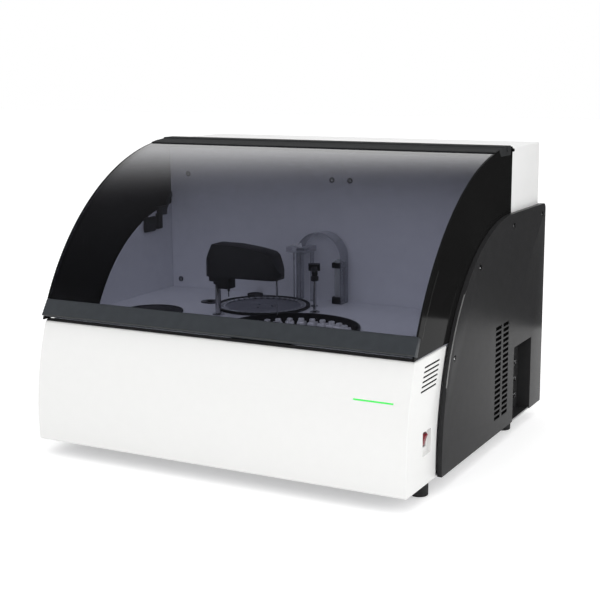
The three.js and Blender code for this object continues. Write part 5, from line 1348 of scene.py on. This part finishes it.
@dataclass
class ReagentUnit:
    """The reagent bowl, its tray and a ring of open white bottles."""

    x: float = 83
    y: float = -191
    bottles: int = 30
    outer: float = 128
    inner: float = 105

    def bottle(self) -> Mesh:
        """One wedge-shaped bottle, with an open neck, at angle 0.

        Returns:
            A closed bmesh.
        """
        body = prism([
            (self.inner, -8), (self.outer, -10), (self.outer, 10), (self.inner, 8),
        ], (215.5, 270), Along.Z)
        soften(body, 2.2, 3)
        neck = turned([
            (0, 262), (6.6, 262), (6.6, 270.5), (6, 271), (6, 272.2), (6.8, 272.8), (6, 273.6),
            (6, 274.4), (6.8, 275), (6, 275.8), (6, 276.6), (5.6, 277), (4.4, 277), (4.4, 264),
            (0, 264),
        ], (self.inner + self.outer) / 2, 0, steps=20)
        return join([body, neck])

    def build(self) -> None:
        """Makes the bowl with its rolled rim, the tray with its hub, and the bottles."""
        Piece("reagent_bowl_liner", SOFT_BLACK, node="reagent_bowl").turn([
            (5.3, 202), (137.4, 202), (137.4, 278), (140, 278), (140, 282.9),
            Arc((138.4, 282.9), 90, 6), (135.6, 284.5), Arc((135.6, 283.3), 90, 5),
            (134.4, 205), (5.3, 205),
        ], self.x, self.y, 96, True)
        Piece("reagent_tray_dish", GREY_PLASTIC, "tray", "reagent_tray").turn([
            (0, 235), (5.3, 235), (5.3, 211), (131, 211), (131, 239.4), Arc((130.4, 239.4), 90, 4),
            (129.5, 240), (129.5, 214), (22, 214), (20, 216), (20, 256), (17, 259), (9, 259),
            (8, 257.4), (0, 257.4),
        ], self.x, self.y, 96)
        centre = Matrix.Translation((self.x, self.y, 0))
        turns = [
            centre @ Matrix.Rotation(math.tau * i / self.bottles, 4, "Z")
            for i in range(self.bottles)
        ]
        ring = turned([(105, 214), (128, 214), (128, 217), (105, 217)], self.x, self.y, True)
        Piece("reagent_bottles", BOTTLE_WHITE, "tray", "bottle_ring").make(
            copies(self.bottle(), turns), ring)


@dataclass
class ReactionUnit:
    """The reaction bath, its rotor and the ring of clear cuvettes."""

    x: float = -86.4
    y: float = -7.6
    bolts: int = 3
    bolt_circle: float = 20
    bolt_turn: float = 0.4

    def build(self) -> None:
        """Turns the bath and the rotor, and softens the cuvettes."""
        Piece("reaction_bath_shell", SOFT_BLACK, node="reaction_bath").turn([
            (5.3, 235), (101.6, 235), (101.6, 278), (104.4, 278), (104.4, 282.6),
            Arc((103, 282.6), 90, 6), (100.2, 284), Arc((100.2, 282.8), 90, 5), (99, 237.6),
            (5.3, 237.6),
        ], self.x, self.y, 96, True)
        Piece("reaction_rotor_disc", GREY_PLASTIC, "rotor", "reaction_rotor").turn([
            (0, 276), (5.3, 276), (5.3, 240.2), (16, 240.2), (16, 276), (86.2, 276),
            (86.2, 278.6), (85.8, 279), (30, 279), (29.4, 278.4), (27.6, 278.4), (27, 279),
            (0, 279),
        ], self.x, self.y, 96)
        refined("cuvette_ring", CLEAR_PLASTIC, 0.25, "rotor")
        angles = [math.tau * i / self.bolts + self.bolt_turn for i in range(self.bolts)]
        reach = self.bolt_circle
        bolts = [(self.x + reach * math.cos(a), self.y + reach * math.sin(a), 279) for a in angles]
        screws("rotor_screws", 3, 1.8, bolts, (0, 0, 1), "rotor", STEEL)


@dataclass
class Probe:
    """The sampling probe: column, arm cover, sleeve and needle, and its lift."""

    x: float = -129
    y: float = -127
    reach: float = 144
    width: float = 46
    level_x: float = 26.4
    well: Point = (-218.64, -14.3)

    def cover(self) -> None:
        """Makes the moulded arm cover with its hub, front block and level rod."""
        outline = [
            (-24.4, 392), (-17, 402), (-9, 416), (0, 433.4), (52.4, 432.9), (98, 428), (132, 421.6),
            (140.6, 414.4), (159, 375.3), (151.6, 364.6), (37.3, 363), (-24.4, 362.6),
        ]
        side = prism([(self.x + x, z) for x, z in outline], between(self.y, self.width), Along.Y)
        half = self.width / 2
        tail, nose = self.x + outline[0][0] + half, self.x + 159 - half
        plan = prism([
            (tail, self.y - half), (nose, self.y - half), Arc((nose, self.y), 180, 32),
            (tail, self.y + half), Arc((tail, self.y), 180, 32),
        ], (350, 440), Along.Z)
        shell = combined(side, plan, "INTERSECT")
        soften(shell, 2.6, 4, math.radians(30))
        Piece("probe_arm_shell", SOFT_BLACK, "probe_arm", "probe_arm_cover").make(shell)
        deep, up = between(self.y, 30), (0, 0, 1)
        Piece("probe_arm_blocks", SOFT_BLACK, "probe_arm").make(
            block(between(self.x, 28), deep, (351.3, 365), 2, 3),
            block((self.x + 7, self.x + 35.4), deep, (337.2, 365), 2.4, 3),
            rod((self.x + self.level_x, self.y, 319), 1.2, 19, up, 16),
            rod((self.x + self.level_x, self.y, 331.5), 2.6, 6, up, 20),
            turned([(6.8, 351.6), (10, 351.6), (10, 346), (9, 344.8), (6.8, 344.8)],
                   self.x, self.y, True, 36),
        )

    def build(self) -> None:
        """Makes the probe with its column, pulley and needle, its lift and its wash cup."""
        self.cover()
        Piece("probe_column_rod", STEEL, "probe_arm", "probe_column").turn([
            (0, 140), (12, 140), (12, 142), (10.6, 143), (10.6, 147), (12, 148), (12, 149.7),
            (6.4, 149.7), (6.4, 361.2), (6, 361.7), (0, 361.7),
        ], self.x, self.y, 48)
        Piece("probe_needle_tube", STEEL, "probe_arm", "probe_needle").turn([
            (0, 289), (0.5, 289), (0.9, 292), (0.9, 331), (1.6, 331.4), (2.2, 333), (2.2, 364),
            (0, 364),
        ], self.x + self.reach, self.y, 20)
        Piece("probe_deck_bush", STEEL).turn(
            [(6.9, 278), (13, 278), (13, 279.4), (10, 281), (6.9, 281)], self.x, self.y, 40, True)
        refined("probe_tower", STEEL, 0.6)
        refined("probe_carriage", ALUMINIUM, 0.6, "probe_slide")
        Piece("probe_wash_cup", SOFT_BLACK, node="probe_wash_well").turn([
            (0, 232), (13, 232), (13, 278), (22, 278), (22, 279.2), (21.2, 280), (9.8, 280),
            (9, 279.2), (9, 234), (0, 234),
        ], *self.well, 56)


@dataclass
class Stirrer:
    """The stirrer: its swinging arm with a ribbed motor block, and the paddle below it."""

    x: float = 46
    y: float = -15
    paddle: Point = (14.076, 45.04)
    turn: float = 118
    reach: float = 68
    block: float = 25.6
    ribs: int = 5

    def arm(self) -> None:
        """Makes the knob, the bar and the ribbed motor block."""
        half = self.block / 2
        start, pitch, tall = self.reach - half, self.block / self.ribs, (361, 380)
        motor = block((start, start + self.block), between(0, self.block), (359, 373), 1, 2)
        grooves = []
        for i in range(self.ribs):
            along = between(start + (i + 0.5) * pitch, pitch / 2)
            beside = (along[0] - self.reach, along[1] - self.reach)
            for face in (-half, half):
                grooves.append(block(along, between(face, 4.4), tall))
                grooves.append(block(between(self.reach + face, 4.4), beside, tall))
        bar = block((-6.5, self.reach), between(0, 13), (360, 369), 1.4, 3)
        knob = turned([
            (3.6, 347), (7.4, 347), (8.4, 348), (8.4, 356), (7.6, 357.4), (6, 358), (6, 362),
            (3.6, 362),
        ], 0, 0, True, 40)
        whole = join([carved(motor, grooves), bar, knob])
        Piece("stirrer_arm_shell", SOFT_BLACK, "stirrer_swing_arm", "stirrer_arm", 0.3).make(
            moved(whole, (self.x, self.y, 0), self.turn, "Z"))

    def build(self) -> None:
        """Makes the stirrer and its lift."""
        self.arm()
        Piece("stirrer_column_rod", STEEL, "stirrer_swing_arm").turn([
            (0, 150), (10, 150), (10, 152), (9, 153), (9, 157), (10, 158), (10, 159.7),
            (3.6, 159.7), (3.6, 348), (0, 348),
        ], self.x, self.y, 40)
        x, y = self.paddle
        shaft = turned([
            (0, 297), (1, 297), (1.4, 298), (1.4, 352), (3, 353), (3, 356.7), (0, 356.7),
        ], x, y, steps=24)
        Piece("stirrer_paddle_rod", STEEL, "paddle", "stirrer_paddle").make(
            shaft, block(between(x, 6), between(y, 1), (290, 304), 0.4, 2))
        Piece("stirrer_deck_bush", STEEL).turn(
            [(5.5, 278), (11, 278), (11, 279.4), (8.4, 281), (5.5, 281)], self.x, self.y, 40, True)
        refined("stirrer_tower", STEEL, 0.6)
        refined("stirrer_carriage", ALUMINIUM, 0.6, "stirrer_slide")
        Piece("stirrer_wash_cup", GREY_PLASTIC, node="stirrer_wash_well").turn([
            (0, 232), (6.6, 232), (6.6, 278), (8, 278), (8, 279.4), (7.4, 280), (5.7, 280),
            (5.2, 279.4), (5.2, 234), (0, 234),
        ], x, y, 40)


@dataclass
class WashStation:
    """The wash head with its nozzles and tubes, and the clear arched cover."""

    arch: tuple[float, float, float, float] = (-52, 62, 82, 118)
    arch_top: float = 437
    rotor: Point = (-86.4, -7.6)
    ring: float = 90
    first: float = 5
    pitch: float = 9
    stations: tuple[int, ...] = (5, 6, 7)

    def arch_outline(self, inset: float, low: float) -> Path:
        """The arch's outline, inset by its wall.

        Args:
            inset: Thickness of the wall.
            low: Height of its lower end.

        Returns:
            The outline's points and arcs.
        """
        left, right = self.arch[0] + inset, self.arch[1] - inset
        middle = (left + right) / 2
        spring = self.arch_top - (self.arch[1] - self.arch[0]) / 2
        return [(left, low), (left, spring), Arc((middle, spring), -180, 40), (right, low)]

    def build(self) -> None:
        """Makes the wash head, its nozzles over three of the cuvettes, and the arch."""
        refined("wash_head", CLEAR_HEAD, 0.8, "wash_slide")
        tubes, seats = [], []
        for index in self.stations:
            angle = math.radians(self.first + self.pitch * index)
            x = self.rotor[0] + self.ring * math.cos(angle)
            y = self.rotor[1] + self.ring * math.sin(angle)
            tubes.append(turned([
                (0, 284.5), (0.8, 284.5), (1.1, 286), (1.1, 372), (1.9, 374), (1.9, 393.4),
                (0, 393.4),
            ], x, y, steps=20))
            seats.append(turned([
                (0, 404.6), (3.4, 404.6), (3.4, 409), (2.2, 410), (2.2, 414), (0, 414),
            ], x, y, steps=24))
        Piece("wash_nozzle_tubes", STEEL, "wash_slide").make(*tubes)
        Piece("wash_tube_seats", BOTTLE_WHITE, "wash_slide").make(*seats)
        front, rear = self.arch[2], self.arch[3]
        shell = carved(prism(self.arch_outline(0, 278), (front, rear), Along.Y), [
            prism(self.arch_outline(3, 270), (front - PAST, rear + PAST), Along.Y),
            rod((*self.rotor, 270), 104.7, 14.3, (0, 0, 1), 96),
        ])
        Piece("arched_cover", CLEAR_PLASTIC, node="wash_arch", edge=0.4).make(shell)


@dataclass
class Syringe:
    """The syringe in its clamps: glass barrel, piston and rod."""

    x: float = 47.6
    y: float = 98

    def build(self) -> None:
        """Makes the clamps, the barrel and the plunger."""
        refined("syringe_clamps", SOFT_BLACK, 0.6)
        Piece("syringe_barrel_tube", GLASS, node="syringe_barrel").turn([
            (7.4, 282.3), (9, 282.3), (9, 375.4), (8.4, 376), (7.4, 376),
        ], self.x, self.y, 48, True)
        Piece("syringe_plunger_rod", SOFT_BLACK, "plunger", "syringe_plunger").turn([
            (0, 212), (5, 212), (5, 217), (2, 217), (2, 302), (7.1, 302), (7.1, 304),
            (6.6, 304.6), (6.6, 305.4), (7.1, 306), (7.1, 308), (5, 310), (0, 310),
        ], self.x, self.y, 40)


@dataclass
class Innards:
    """What sits inside the chassis and shows only through the vents."""

    finishes: dict[str, Finish] = field(default_factory=lambda: {
        "tray_motor": SOFT_BLACK, "rotor_motor": SOFT_BLACK, "photometer": SOFT_BLACK,
        "power_supply": STEEL, "control_board": BOARD_GREEN,
    })

    def build(self) -> None:
        """Softens and dresses each inner part."""
        for node, finish in self.finishes.items():
            refined(node, finish, 0.4)


# Studio

@dataclass
class Studio:
    """A plain pale floor, soft lamps and the camera, with all lengths in metres."""

    camera_at: Place = (1.2604, -2.3816, 0.8164)
    azimuth: float = 27.85
    elevation: float = 10.88
    roll: float = -0.33
    lens: float = 75.35
    sensor: float = 36
    aim: Place = (0, 0, 0.3)
    sky: float = 0.88
    overhead: float = 0.05
    up: Place = (0.8, -0.4, 1)
    fade: Span = (-0.27, 0.33)
    floor_size: float = 14
    floor_shade: float = 0.93
    floor_lift: float = 0.35
    card: tuple[Span, Span, Span] = ((0.44, 4.5), (0.55, 0.554), (0.165, 3.0))
    card_shade: float = 0.004

    def camera(self) -> None:
        """Sets the camera where the photograph was taken from."""
        data = bpy.data.cameras.new("camera")
        data.lens = self.lens
        data.sensor_width = self.sensor
        camera = bpy.data.objects.new("camera", data)
        bpy.context.scene.collection.objects.link(camera)
        a, e = math.radians(self.azimuth), math.radians(self.elevation)
        back = Vector((math.sin(a) * math.cos(e), -math.cos(a) * math.cos(e), math.sin(e)))
        turn = (-back).to_track_quat("-Z", "Y").to_matrix().to_4x4()
        roll = Matrix.Rotation(math.radians(self.roll), 4, "Z")
        camera.matrix_world = Matrix.Translation(self.camera_at) @ turn @ roll
        bpy.context.scene.camera = camera

    def prop(self, name: str, bm: Mesh) -> tuple[bpy.types.Object, Weave]:
        """Stages a solid in metres, which is no part of the object.

        Args:
            name: Its name.
            bm: The solid.

        Returns:
            The object and the nodes of its material.
        """
        thing = loose(bm, name)
        material = bpy.data.materials.new(name)
        weave = Weave(material)
        thing.data.materials.append(material)
        return thing, weave

    def floor(self) -> None:
        """Lays the floor, and stands a dark card where the right cheek mirrors it."""
        bm = bmesh.new()
        bmesh.ops.create_grid(bm, x_segments=1, y_segments=1, size=self.floor_size)
        _, weave = self.prop("floor", bm)
        weave.fill(weave.shader, {
            "Base Color": (*[self.floor_shade] * 3, 1), "Roughness": 0.9,
            "Emission Color": (1, 1, 1, 1),
            "Emission Strength": weave.maths("MULTIPLY", weave.background_rays(), self.floor_lift),
        })
        card, weave = self.prop("dark_card", block(*self.card))
        weave.fill(weave.shader, {
            "Base Color": (*[self.card_shade] * 3, 1), "Roughness": 1, "Specular IOR Level": 0,
        })
        card.visible_camera = False
        card.visible_diffuse = False
        card.visible_shadow = False

    def world(self) -> None:
        """Sets an even sky, which reads white behind the object and dark overhead."""
        world = bpy.data.worlds.new("sky")
        bpy.context.scene.world = world
        weave = Weave(world)
        weave.nodes.clear()
        place = weave.add("TexCoord", {}).outputs["Generated"]
        rise = weave.add("VectorMath", {0: place, 1: self.up}, operation="DOT_PRODUCT")
        fade = weave.add("MapRange", {
            "Value": rise.outputs["Value"], "From Min": self.fade[0], "From Max": self.fade[1],
            "To Min": 1, "To Max": self.overhead,
        }, interpolation_type="SMOOTHSTEP").outputs["Result"]
        camera_rays = weave.add("LightPath", {}).outputs["Is Camera Ray"]
        strengths = (self.sky, weave.maths("MAXIMUM", camera_rays, fade))
        even, shown = [
            weave.add("Background", {"Color": (1, 1, 1, 1), "Strength": strength})
            for strength in strengths
        ]
        mix = weave.add("MixShader", {
            "Fac": weave.background_rays(), 1: even.outputs["Background"],
            2: shown.outputs["Background"],
        })
        weave.add("OutputWorld", {"Surface": mix.outputs["Shader"]})

    def lamp(self, name: str, place: Place, size: float, power: float) -> None:
        """Hangs one soft square lamp that faces the object.

        Args:
            name: Its name.
            place: Where it hangs, in metres.
            size: Its side, in metres.
            power: Its power in watts.
        """
        data = bpy.data.lights.new(name, "AREA")
        data.size = size
        data.energy = power
        lamp = bpy.data.objects.new(name, data)
        bpy.context.scene.collection.objects.link(lamp)
        lamp.location = place
        lamp.visible_glossy = False
        lamp.rotation_mode = "QUATERNION"
        lamp.rotation_quaternion = (Vector(self.aim) - Vector(place)).to_track_quat("-Z", "Y")

    def build(self) -> None:
        """Sets up the camera, the floor, the sky and the lamps."""
        self.camera()
        self.floor()
        self.world()
        self.lamp("front_lamp", (0.9, -3.1, 2.0), 2.2, 18)
        self.lamp("top_lamp", (0.2, -0.4, 3.0), 2.4, 12)
        self.lamp("side_lamp", (3.2, 0.2, 1.6), 1.8, 14)
        bpy.context.scene.view_settings.view_transform = "Standard"


def main() -> None:
    """Builds the sub-assemblies in order."""
    logging.basicConfig(level=logging.INFO, format="%(message)s")
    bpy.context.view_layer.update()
    assemblies = (
        FrontShell(), SidePanels(), RearShell(), Feet(), Lid(), Chamber(), ReagentUnit(),
        ReactionUnit(), Probe(), Stirrer(), WashStation(), Syringe(), Innards(), Studio(),
    )
    for assembly in assemblies:
        LOG.info("building %s", type(assembly).__name__)
        assembly.build()


if __name__ == "__main__":
    main()
